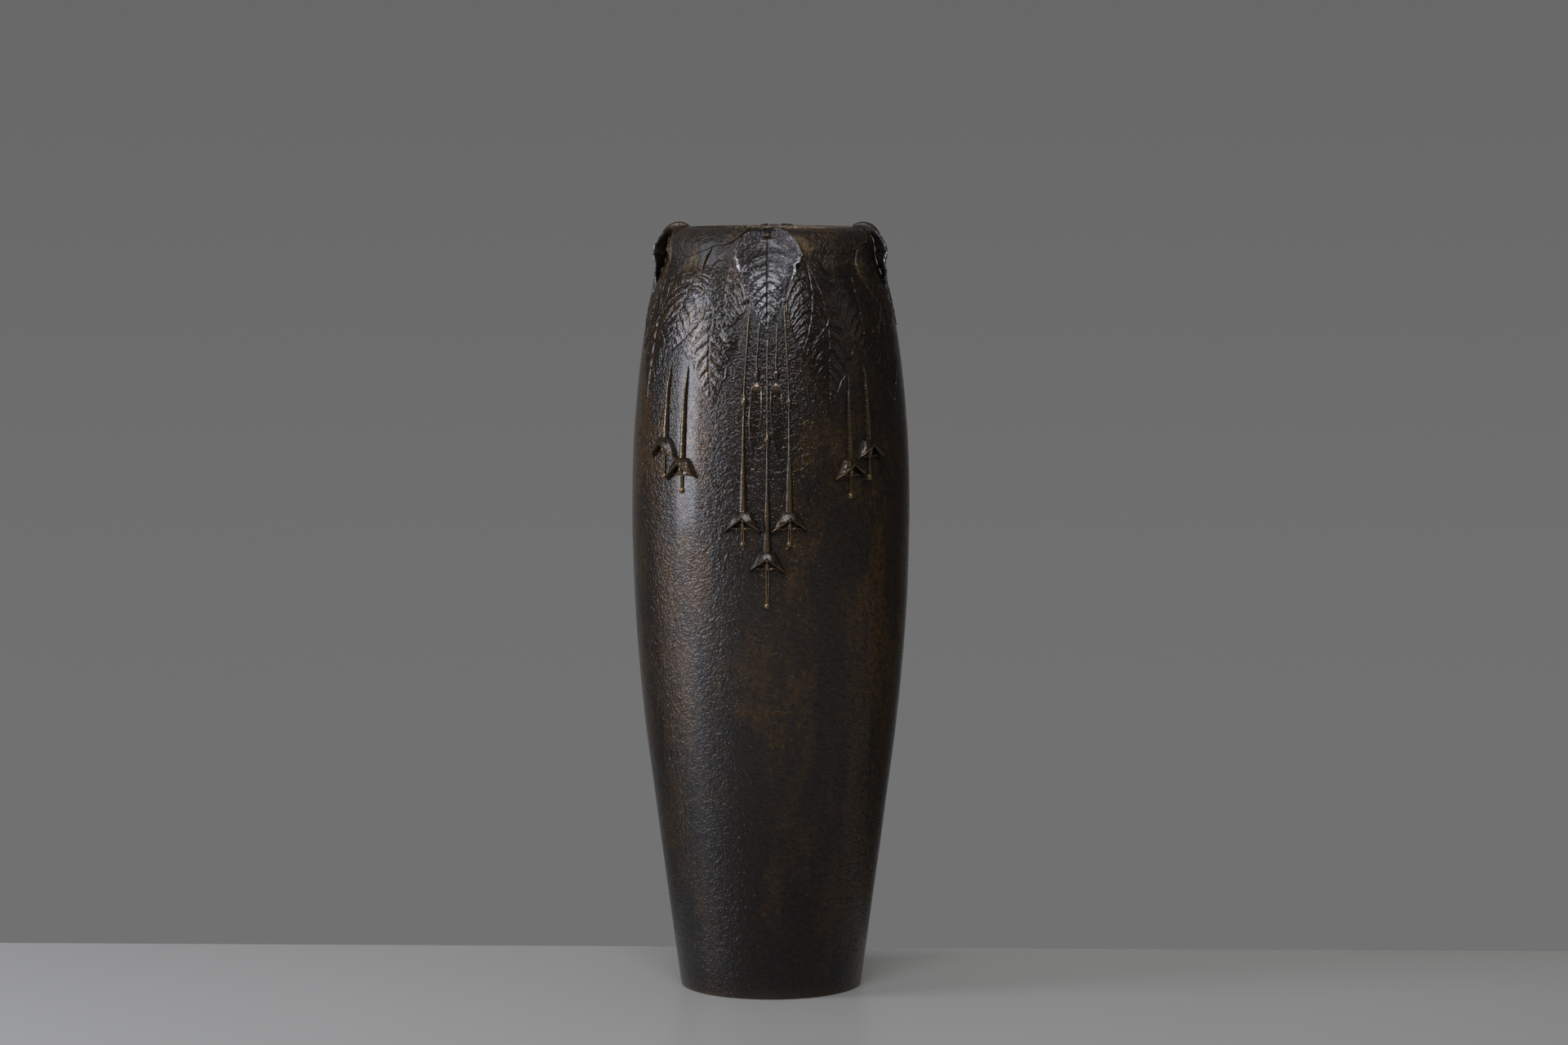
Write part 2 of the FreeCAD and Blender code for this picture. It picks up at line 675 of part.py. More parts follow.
def blossom_rings(size, contour, azimuth, crown, end):
    """The bell below its crown, its hollow underside and the pistil down to the knob's end."""
    gap = size("seat_gap")
    length, half, height = (size("blossom_length"), size("blossom_width") / 2,
                            size("blossom_height"))
    pistil, knob = size("pistil_width") / 2, size("knob_width") / 2
    down, across, up = BLOSSOM_FLARE_SHARES
    rings = [crowned_ring(contour, azimuth, crown + length * down, half * across, height * up, gap)]
    rim = []
    for (aside, crowned), dip in zip(CROWNED_SHARES, SEPAL_DIP_SHARES):
        lift = gap + height * max(crowned, SEPAL_EDGE_SHARE)
        rim.append(contour.point(azimuth, crown + length * dip, lift, half * aside))
    root = crown + length * PETAL_ROOT_SHARE
    rim += [contour.point(azimuth, root, gap, half * aside) for aside in UNDERSIDE_SHARES]
    rings.append(rim)
    down, across, up = BLOSSOM_MOUTH_SHARES
    mouth = crown + length * down
    rings.append(crowned_ring(contour, azimuth, mouth, half * across, height * up, gap))
    start = mouth + pistil / 2
    thin = size("pistil_height")
    rings.append(crowned_ring(contour, azimuth, start, pistil, thin, gap))
    rings.append(crowned_ring(contour, azimuth, end - 2 * knob, pistil, thin, gap))
    rings.append(crowned_ring(contour, azimuth, end - knob, knob, thin * KNOB_HEIGHT_SHARE, gap))
    rings.append([contour.point(azimuth, end, gap)])
    return rings


def hanging_bud(size, contour, place):
    """Stem, ovary and a closed bud that swells and ends in a point."""
    top_azimuth, azimuth, *shares = place
    top, ovary, end = (contour.drop_at(share * contour.rim_height) for share in shares)
    gap = size("seat_gap")
    stations = stem_and_ovary(size, top_azimuth, azimuth, top, ovary)
    closed = stations[-1][1]
    for down, across, up in BUD_SWELL_SHARES:
        stations.append((azimuth, closed + (end - closed) * down,
                         size("bud_width") / 2 * across, size("bud_height") * up))
    tip = [contour.point(top_azimuth, top - size("stem_width") / 2, gap)]
    rings = [tip] + follow(contour, stations, gap, size("stem_step"))
    return skin(rings + [[contour.point(azimuth, end, gap)]])


def make_petiole(size, contour):
    """The leaf's stalk: rises from the rim's crest, rides over the leaf's base, cut off square."""
    half, height, length = (size("petiole_width") / 2, size("petiole_height"),
                            size("petiole_length"))
    gap = size("seat_gap")
    clear = gap + size("rim_leaf_thickness") + size("petiole_clearance")
    rings = []
    for along, back, across in PETIOLE_SHARES:
        under = clear if along > PETIOLE_LIFTED_SHARE else gap
        over = gap + height * back
        top = [contour.point(0.0, length * along, under + (over - under) * up,
                             half * across * aside)
               for aside, up in STALK_SHARES]
        below = [contour.point(0.0, length * along, under, half * across * aside)
                 for aside in STALK_FLAT_SHARES]
        rings.append(top + below)
    return skin(rings)


def twig_places(size, contour, route):
    """Close places along a twig's route, as azimuth and distance down the contour."""
    corners = [(azimuth, contour.drop_at(share * contour.rim_height)) for azimuth, share in route]
    places = [corners[0]]
    for start, end in zip(corners, corners[1:]):
        across = math.radians(end[0] - start[0]) * contour.at(start[1])[0]
        steps = math.ceil(math.hypot(across, end[1] - start[1]) / size("twig_step"))
        for step in range(1, steps + 1):
            share = step / steps
            places.append(tuple(a + (b - a) * share for a, b in zip(start, end)))
    return places


def make_twig(size, contour, route):
    """One twig along the shoulder, from its root beside a petiole, thinning towards its end."""
    gap, half, height = size("seat_gap"), size("twig_width") / 2, size("twig_height")
    places = twig_places(size, contour, route)
    last = len(places) - 1
    rings = []
    for index, (azimuth, drop) in enumerate(places):
        before, after = places[max(index - 1, 0)], places[min(index + 1, last)]
        along = math.radians(after[0] - before[0]) * contour.at(drop)[0]
        slope = math.atan2(along, after[1] - before[1])
        taper = 1.0 - TWIG_TAPER_SHARE * index / last
        ring = []
        for across, up in TWIG_RING_SHARES:
            aside = half * taper * across
            ring.append(contour.point(azimuth, drop - aside * math.sin(slope),
                                      gap + height * taper * up, aside * math.cos(slope)))
        rings.append(ring)
    return skin(rings)


def make_ornament(document, size, contour):
    """Every leaf, twig, blossom and bud, each a node of its own, set round the wall."""
    nodes = []
    leaf, stalk = rim_leaf(size, contour), make_petiole(size, contour)
    twigs = {side: make_twig(size, contour, route) for side, route in TWIG_SHARES.items()}
    flank = {side: laid_leaf(size, contour, place, size("flank_leaf_width"), SAW_LEAF_SHARES)
             for side, place in FLANK_LEAF_SHARES.items()}
    low = {side: laid_leaf(size, contour, place, size("low_leaf_width"), TUCKED_LEAF_SHARES)
           for side, place in LOW_LEAF_SHARES.items()}
    blossoms = {part: hanging_blossom(size, contour, place)
                for part, place in MAIN_BLOSSOM_SHARES.items()}
    buds = {side: hanging_bud(size, contour, place) for side, place in BUD_SHARES.items()}
    for side, turn in MAIN_SIDES.items():
        nodes.append(put_node(document, f"rim_leaf_{side}", leaf, turn))
        nodes.append(put_node(document, f"petiole_{side}", stalk, turn))
        for part, shape in twigs.items():
            nodes.append(put_node(document, f"rim_twig_{side}_{part}", shape, turn))
        for part, shape in flank.items():
            nodes.append(put_node(document, f"flank_leaf_{side}_{part}", shape, turn))
        for part, shape in low.items():
            nodes.append(put_node(document, f"low_leaf_{side}_{part}", shape, turn))
        if side not in BLOSSOMING_SIDES:
            continue
        for part, shape in blossoms.items():
            nodes.append(put_node(document, f"blossom_{side}_{part}", shape, turn))
        for part, shape in buds.items():
            nodes.append(put_node(document, f"bud_{side}_{part}", shape, turn))
    for corner, (turn, kind) in CORNERS.items():
        shape = laid_leaf(size, contour, CORNER_LEAF_SHARES[kind], size("corner_leaf_width"),
                          SAW_LEAF_SHARES)
        nodes.append(put_node(document, f"corner_leaf_{corner}", shape, turn))
        for part, place in CORNER_BLOSSOM_SHARES[kind].items():
            shape = hanging_blossom(size, contour, place)
            nodes.append(put_node(document, f"blossom_{corner}_{part}", shape, turn))
    return nodes


def check_and_write(document, nodes):
    """Stops on anything failed, empty or invalid, and then writes one file per sub-part."""
    for item in document.Objects:
        if {"Invalid", "Error"} & set(item.State):
            raise RuntimeError(f"{item.Label} failed: {item.State}")
    os.makedirs("parts", exist_ok=True)
    for node in nodes:
        shape = node.Shape
        if shape.isNull() or not shape.isValid() or not shape.Solids:
            raise RuntimeError(f"{node.Label} has no valid shape")
    for node in nodes:
        node.Shape.exportStep(f"parts/{node.Label}.step")
        print(f"{node.Label}: {len(node.Shape.Solids)} solid, {node.Shape.Volume:.1f} mm3")


def main():
    document = FreeCAD.newDocument("relief_vase")
    sheet = make_sheet(document)

    def size(name):
        return float(sheet.get(name))

    contour = Contour(size)
    nodes = [make_vessel_wall(document, size, contour), make_bottom_plate(document, size)]
    nodes += make_ornament(document, size, contour)
    document.recompute()
    check_and_write(document, nodes)


main()
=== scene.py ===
import logging
import math
import random
from dataclasses import dataclass, field
from enum import Enum
from typing import Callable, ClassVar, NamedTuple, Optional, Sequence

import bmesh
import bpy
from mathutils import Matrix, Vector, noise


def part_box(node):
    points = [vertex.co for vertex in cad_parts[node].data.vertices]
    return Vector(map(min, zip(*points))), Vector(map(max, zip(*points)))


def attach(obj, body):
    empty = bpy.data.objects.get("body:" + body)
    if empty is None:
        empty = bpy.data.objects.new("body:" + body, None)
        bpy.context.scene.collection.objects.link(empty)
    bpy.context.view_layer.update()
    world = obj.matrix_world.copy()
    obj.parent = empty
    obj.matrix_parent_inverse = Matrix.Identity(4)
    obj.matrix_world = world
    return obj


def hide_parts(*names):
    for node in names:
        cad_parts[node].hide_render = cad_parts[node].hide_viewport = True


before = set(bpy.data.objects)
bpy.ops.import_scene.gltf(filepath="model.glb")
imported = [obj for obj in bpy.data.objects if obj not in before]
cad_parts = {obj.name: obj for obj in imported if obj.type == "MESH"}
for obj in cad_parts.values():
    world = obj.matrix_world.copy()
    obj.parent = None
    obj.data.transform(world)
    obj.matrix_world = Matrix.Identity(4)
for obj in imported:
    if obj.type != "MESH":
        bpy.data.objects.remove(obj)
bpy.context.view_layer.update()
log = logging.getLogger("relief_vase")

# One millimetre, in metres: relief is written in millimetres, and places in metres.
MM = 0.001
BODY = "root"

# The four main sides, the two of them that blossoms hang on, and the four corners between.
MAIN_SIDES = {"front": 0.0, "right": 90.0, "back": 180.0, "left": 270.0}
BLOSSOMING_SIDES = ("front", "back")
CORNERS = {
    "front_left": (-45.0, "leaning"),
    "front_right": (45.0, "upright"),
    "back_right": (135.0, "leaning"),
    "back_left": (225.0, "upright"),
}

# How deep the hidden underside of anything laid on the wall is sunk into it.
SINK = 0.7 * MM

# How far a sheet's side bulges out, and how near two of its vertices are to be merged.
SIDE_BULGE = 0.12 * MM
MERGING = 0.002 * MM

# How far the foot of a twig or stem lies over the wall, and how far a stem sways.
SEAT = 0.1 * MM
STEM_SWAY = 0.1 * MM

# Degrees between two faces past which their edge stays sharp: on leaves, and on plainer pieces.
LEAF_SHARPNESS = 55.0
PLAIN_SHARPNESS = 40.0

Colour = tuple[float, float, float, float]


def mix(start: float, end: float, share: float) -> float:
    """The value a share of the way from one number to another."""
    return start + (end - start) * share


def clamp(value: float, low: float = 0.0, high: float = 1.0) -> float:
    """The value, held between two limits."""
    return max(low, min(high, value))


def smooth(low: float, high: float, value: float) -> float:
    """A soft step from 0 below the low limit to 1 above the high one."""
    share = clamp((value - low) / (high - low))
    return share * share * (3 - 2 * share)


def hump(value: float, middle: float, spread: float) -> float:
    """A bell of height 1 round a middle."""
    return math.exp(-((value - middle) / spread) ** 2)


def wobble(x: float, y: float, z: float, size: float) -> float:
    """Smooth noise from -1 to 1 whose lumps have about this size, in the units of the place."""
    return noise.noise(Vector((x, y, z)) / size)


def around(azimuth: float, distance: float, height: float) -> Vector:
    """A place at degrees round the vase from the front, a distance from its axis and a height."""
    turned = math.radians(azimuth)
    return Vector((distance * math.sin(turned), -distance * math.cos(turned), height))


def arch(share: float) -> float:
    """Half a circle of height 1 over a share across, from -1 to 1."""
    return math.sqrt(max(1 - share * share, 0.0))


@dataclass
class Contour:
    """The outer face of the wall, followed down from the crest of the rolled rim, in metres."""

    rim_height: float = 0.445
    belly_radius: float = 0.081
    belly_height: float = 0.286
    foot_radius: float = 0.053
    neck_radius: float = 0.0604
    neck_hollow: float = 0.026
    rim_roll: float = 0.013
    lower_bow_share: float = 0.78
    upper_bow_share: float = 1.295
    shoulder_bow_share: float = 0.277
    spans: tuple = field(init=False, default=())
    skirt_length: float = field(init=False, default=0.0)

    def __post_init__(self) -> None:
        """Works out the five arcs of the contour and the straight skirt below them."""
        self.crest_radius = self.neck_radius - self.rim_roll
        drawn_in = self.belly_radius - self.foot_radius
        joining = (self.belly_height ** 2 + drawn_in ** 2) / (2 * drawn_in)
        lower = self.lower_bow_share * joining
        waist = self.rim_height - self.rim_roll
        rise = waist - self.belly_height
        necked = self.belly_radius - self.neck_radius
        joining = (rise ** 2 + necked ** 2) / (2 * necked)
        upper = self.upper_bow_share * (joining - self.neck_hollow)
        shoulder = self.shoulder_bow_share * upper
        roll_middle = (self.crest_radius, waist)
        hollow_middle = (self.neck_radius + self.neck_hollow, waist)
        upper_middle = (self.belly_radius - upper, self.belly_height)
        lower_middle = (self.belly_radius - lower, self.belly_height)
        shoulder_middle = self._between(upper_middle, upper - shoulder,
                                        hollow_middle, shoulder + self.neck_hollow)
        top = self._bearing(shoulder_middle, hollow_middle)
        foot = self._bearing(upper_middle, shoulder_middle)
        away = math.hypot(self.foot_radius - lower_middle[0], self.belly_height)
        end = (math.atan2(-self.belly_height, self.foot_radius - lower_middle[0])
               + math.acos(lower / away))
        self.spans = (
            (roll_middle, self.rim_roll, math.pi / 2, 0.0, 1),
            (hollow_middle, self.neck_hollow, math.pi, math.pi + top, -1),
            (shoulder_middle, shoulder, top, foot, 1),
            (upper_middle, upper, foot, 0.0, 1),
            (lower_middle, lower, 0.0, end, 1),
        )
        self.skirt_length = math.sqrt(away ** 2 - lower ** 2)

    @classmethod
    def of_frame(cls) -> "Contour":
        """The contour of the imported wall, whose height and reach come from its box."""
        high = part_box("vessel_wall")[1]
        return cls(rim_height=round(high.z, 4), belly_radius=round(high.x, 4))

    @staticmethod
    def _between(first: tuple, first_reach: float, second: tuple, second_reach: float) -> tuple:
        """The outer one of the two points that lie at given reaches from two others.

        Args:
            first: the first point.
            first_reach: distance from it.
            second: the second point.
            second_reach: distance from it.

        Returns:
            The point's radius and height.
        """
        across, rise = second[0] - first[0], second[1] - first[1]
        apart = math.hypot(across, rise)
        along = (first_reach ** 2 - second_reach ** 2 + apart ** 2) / (2 * apart)
        aside = math.sqrt(first_reach ** 2 - along ** 2)
        return (first[0] + (along * across + aside * rise) / apart,
                first[1] + (along * rise - aside * across) / apart)

    @staticmethod
    def _bearing(start: tuple, end: tuple) -> float:
        """Angle of the line from one centre to another."""
        return math.atan2(end[1] - start[1], end[0] - start[0])

    def at(self, drop: float) -> tuple[float, float, float, float]:
        """Radius, height and outward normal at a distance down the contour from the crest.

        Args:
            drop: the distance; below 0 it runs inwards over the flat of the rim.

        Returns:
            Radius, height, and the normal's two parts, outwards and upwards.
        """
        if drop < 0:
            return self.crest_radius + drop, self.rim_height, 0.0, 1.0
        for middle, radius, start, end, side in self.spans:
            length = radius * abs(end - start)
            if drop <= length:
                angle = start + (end - start) * drop / length
                out, up = math.cos(angle), math.sin(angle)
                return middle[0] + radius * out, middle[1] + radius * up, side * out, side * up
            drop -= length
        out, up = math.cos(end), math.sin(end)
        return (middle[0] + radius * out + up * drop, middle[1] + radius * up - out * drop,
                out, up)

    def drop_at(self, height: float) -> float:
        """Distance down the contour from the crest to a height.

        Args:
            height: a height over the foot, on one of the arcs.

        Returns:
            The distance.
        """
        passed = 0.0
        for middle, radius, start, end, side in self.spans:
            if height >= middle[1] + radius * math.sin(end):
                slope = math.asin(clamp((height - middle[1]) / radius, -1.0, 1.0))
                angle = slope if side > 0 else math.pi - slope
                return passed + radius * abs(angle - start)
            passed += radius * abs(end - start)
        raise ValueError("below the lower bow")

    def share_drop(self, share: float) -> float:
        """Distance down the contour to a height given as a share of the rim's."""
        return self.drop_at(share * self.rim_height)

    def point(self, azimuth: float, drop: float, lift: float, aside: float = 0.0) -> Vector:
        """A point over the wall.

        Args:
            azimuth: degrees round the vase from the front.
            drop: distance down the contour from the crest.
            lift: height over the wall.
            aside: distance round the wall, to the right of the azimuth.

        Returns:
            The point.
        """
        radius, height, out, up = self.at(drop)
        turned = math.radians(azimuth) + aside / radius
        reach = radius + out * lift
        return Vector((reach * math.sin(turned), -reach * math.cos(turned), height + up * lift))


class Place(NamedTuple):
    """Where a vertex lies over the wall, and its share of abraded bronze colour, which on rod
    crests and leaf margins is partly a painted highlight.
    """

    azimuth: float
    drop: float
    lift: float
    aside: float
    wear_and_painted_highlight: float


class Relief:
    """The mesh of one piece of ornament: closed sheets wrapped from grids over the wall."""

    def __init__(self, contour: Contour, turn: float) -> None:
        """Starts an empty mesh.

        Args:
            contour: the wall's outer face, over which every sheet lies.
            turn: degrees by which every sheet is turned round the vase.
        """
        self.contour = contour
        self.turn = turn
        self.mesh = bmesh.new()
        self.wear_and_painted_highlight = self.mesh.verts.layers.float.new("wear_and_painted_highlight")

    def sheet(self, rows: int, columns: int, over: Callable[[float, float], Place],
              thickness: Optional[float] = None) -> None:
        """Adds a closed sheet: a top face, rounded margins and an underside.

        Args:
            rows: steps along the sheet.
            columns: steps across its top face.
            over: the place of the top face at a share along and a share across, from -1 to 1.
            thickness: depth of the underside below the top, or None to sink it into the wall.
        """
        under = columns // 3 if thickness else 4
        stations = [(mix(-1.0, 1.0, step / columns), 0.0) for step in range(columns + 1)]
        stations.append((1.0, 0.5))
        stations += [(mix(1.0, -1.0, step / under), 1.0) for step in range(under + 1)]
        stations += [(-1.0, 0.5), (-1.0, 0.0)]
        last_row, last_column = rows + 2, len(stations) - 1
        made = bmesh.ops.create_grid(self.mesh, x_segments=last_column, y_segments=last_row,
                                     size=0.5)["verts"]
        for vertex in made:
            share, depth = stations[round((vertex.co.x + 0.5) * last_column)]
            row = round((vertex.co.y + 0.5) * last_row)
            capped = row in (0, last_row)
            place = over(clamp((row - 1) / rows), 0.0 if capped else share)
            floor = place.lift - thickness if thickness else -SINK
            sunk = 0.5 if capped and thickness else 1.0 if capped else depth
            bulge = math.copysign(SIDE_BULGE, share) if depth == 0.5 and not capped else 0.0
            vertex.co = self.contour.point(place.azimuth + self.turn, place.drop,
                                           mix(place.lift, floor, sunk), place.aside + bulge)
            vertex[self.wear_and_painted_highlight] = clamp(place.wear_and_painted_highlight) if depth < 1 else 0.0
        bmesh.ops.remove_doubles(self.mesh, verts=made, dist=MERGING)
        faces = {one for vertex in made if vertex.is_valid for one in vertex.link_faces}
        bmesh.ops.recalc_face_normals(self.mesh, faces=list(faces))


def new_object(shape: bmesh.types.BMesh, name: str,
               material: bpy.types.Material) -> bpy.types.Object:
    """Makes an object of the scene.

    Args:
        shape: the mesh, which is freed.
        name: the object's name.
        material: its only material.

    Returns:
        The object.
    """
    mesh = bpy.data.meshes.new(name)
    shape.to_mesh(mesh)
    shape.free()
    mesh.materials.append(material)
    made = bpy.data.objects.new(name, mesh)
    bpy.context.scene.collection.objects.link(made)
    return made


def finish_piece(shape: bmesh.types.BMesh, material: bpy.types.Material,
                 stands_for: str, sharpness: float) -> bpy.types.Object:
    """Turns a bmesh into a smooth, dressed object that rides on the vase.

    Args:
        shape: the mesh, which is freed.
        material: its finish.
        stands_for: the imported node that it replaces, from which it takes its name.
        sharpness: degrees between two faces past which their edge stays sharp.

    Returns:
        The finished object.
    """
    piece = new_object(shape, f"{stands_for}_cast", material)
    piece.data.shade_smooth()
    piece.data.set_sharp_from_angle(angle=math.radians(sharpness))
    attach(piece, BODY)
    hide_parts(stands_for)
    log.info("%s: %d faces", piece.name, len(piece.data.polygons))
    return piece


@dataclass
class Piece:
    """A piece of ornament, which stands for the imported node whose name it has."""

    contour: Contour
    name: str
    turn: float
    slot: ClassVar[str] = "leaf"
    sharpness: ClassVar[float] = LEAF_SHARPNESS

    def model(self, relief: Relief) -> None:
        """Adds the piece's sheets to its mesh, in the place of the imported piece."""
        raise NotImplementedError

    def build(self, material: bpy.types.Material) -> bpy.types.Object:
        """Models the piece, dresses it and hangs it on the vase.

        Args:
            material: its finish.

        Returns:
            The finished object.
        """
        relief = Relief(self.contour, self.turn)
        self.model(relief)
        return finish_piece(relief.mesh, material, self.name, self.sharpness)


@dataclass
class VaseWall:
    """The vase's own wall: outside, rolled rim, lip, inside, foot ring and rebate."""

    contour: Contour
    thickness: float = 0.003
    lip_reach: float = 0.0014
    lip_rounding: float = 0.0012
    ring_width: float = 0.0045
    ring_height: float = 0.008
    plate_recess: float = 0.002
    plate_thickness: float = 0.003
    plate_ledge: float = 0.0015
    foot_rounding: float = 0.0008
    round_steps: int = 288
    outer_steps: tuple = (14, 12, 26, 34, 62)
    inner_steps: tuple = (6, 6, 12, 14, 28)
    skirt_steps: int = 6
    lip_steps: int = 4
    unevenness: float = 0.22 * MM
    even_below: float = 0.02
    lumps: tuple = ((0.6, 0.034), (0.4, 0.015))

    def profile(self) -> list[tuple[float, float, float, float]]:
        """Radius, height, wear and inside share of every ring, once round the wall's section.

        Returns:
            The rings, from the rim's crest down the outside and back up.
        """
        contour = self.contour
        outer = [(*contour.at(drop)[:2], 0.0, 0.0) for drop in self._drops(self.outer_steps)]
        inner = []
        for drop in self._drops(self.inner_steps):
            radius, height, out, up = contour.at(drop)
            if height - self.thickness * up > self.ring_height + self.foot_rounding:
                inner.append((radius - self.thickness * out, height - self.thickness * up,
                              0.0, 1.0))
        foot, rise = contour.foot_radius, self.foot_rounding
        ring_inner = foot - self.ring_width
        rebate = ring_inner + self.plate_ledge
        seat = self.plate_recess + self.plate_thickness
        base = [
            (foot, rise, 0.5, 0.0),
            (foot - 0.3 * rise, 0.3 * rise, 0.9, 0.0),
            (foot - rise, 0.0, 0.6, 0.0),
            (rebate + 0.5 * rise, 0.0, 0.3, 0.0),
            (rebate, 0.5 * rise, 0.3, 0.0),
            (rebate, seat, 0.0, 1.0),
            (ring_inner, seat, 0.0, 1.0),
            (ring_inner, self.ring_height, 0.0, 1.0),
        ]
        lip, rim = contour.crest_radius - self.lip_reach, contour.rim_height
        curve = self.lip_rounding
        mouth = []
        for middle_height, start in ((rim - self.thickness + curve, -90.0), (rim - curve, 180.0)):
            for step in range(self.lip_steps + 1):
                angle = math.radians(start - 90.0 * step / self.lip_steps)
                mouth.append((lip + curve + curve * math.cos(angle),
                              middle_height + curve * math.sin(angle), 0.95, 0.3))
        return outer[:-1] + base + inner[::-1] + mouth

    def _drops(self, steps: Sequence[int]) -> list[float]:
        """Distances down the contour, a given number on each arc and a few on the skirt.

        Args:
            steps: how many distances each arc gets.

        Returns:
            The distances, from the crest to the foot.
        """
        drops, passed = [], 0.0
        for (_, radius, start, end, _), count in zip(self.contour.spans, steps):
            length = radius * abs(end - start)
            drops += [passed + length * step / count for step in range(count)]
            passed += length
        skirt = self.contour.skirt_length
        return drops + [passed + skirt * step / self.skirt_steps
                        for step in range(self.skirt_steps + 1)]

    def build(self, material: bpy.types.Material) -> bpy.types.Object:
        """Spins the section round the axis and gives the outside the casting's unevenness.

        Args:
            material: the wall's finish.

        Returns:
            The finished wall.
        """
        shape = bmesh.new()
        wear_and_painted_highlight = shape.verts.layers.float.new("wear_and_painted_highlight")
        inside = shape.verts.layers.float.new("inside")
        ring = []
        for radius, height, worn_and_highlit, within in self.profile():
            vertex = shape.verts.new((0.0, -radius, height))
            vertex[wear_and_painted_highlight], vertex[inside] = worn_and_highlit, within
            ring.append(vertex)
        edges = [shape.edges.new((ring[index - 1], ring[index])) for index in range(len(ring))]
        bmesh.ops.spin(shape, geom=ring + edges, cent=(0, 0, 0), axis=(0, 0, 1), dvec=(0, 0, 0),
                       angle=math.tau, steps=self.round_steps, use_merge=True)
        bmesh.ops.recalc_face_normals(shape, faces=shape.faces[:])
        for vertex in shape.verts:
            place = vertex.co
            rise = smooth(self.foot_rounding, self.even_below, place.z) * (1 - vertex[inside])
            push = sum(share * noise.noise(place / size) for share, size in self.lumps)
            radial = Vector((place.x, place.y, 0.0)).normalized()
            vertex.co = place + radial * (push * rise * self.unevenness)
        return finish_piece(shape, material, "vessel_wall", PLAIN_SHARPNESS)


class LeafForm(NamedTuple):
    """A leaf's outline, in shares of its length and half width, and its relief, in millimetres."""

    widest: float
    fullness: float
    taper: float
    teeth: int
    bite: float
    vein_spacing: float
    vein: float
    midrib: float
    panel: float
    pucker: float


class LeafKind(Enum):
    """The leaves on the vase: folded over the rim, laid beside it, and tucked below those."""

    HEART = LeafForm(widest=0.26, fullness=0.50, taper=1.60, teeth=9, bite=0.05,
                     vein_spacing=6.0, vein=0.42, midrib=0.60, panel=0.20, pucker=0.20)
    BROAD = LeafForm(widest=0.41, fullness=0.50, taper=1.90, teeth=8, bite=0.07,
                     vein_spacing=6.2, vein=0.34, midrib=0.42, panel=0.12, pucker=0.09)
    TUCKED = LeafForm(widest=0.50, fullness=0.62, taper=1.30, teeth=8, bite=0.07,
                      vein_spacing=7.4, vein=0.40, midrib=0.55, panel=0.12, pucker=0.09)


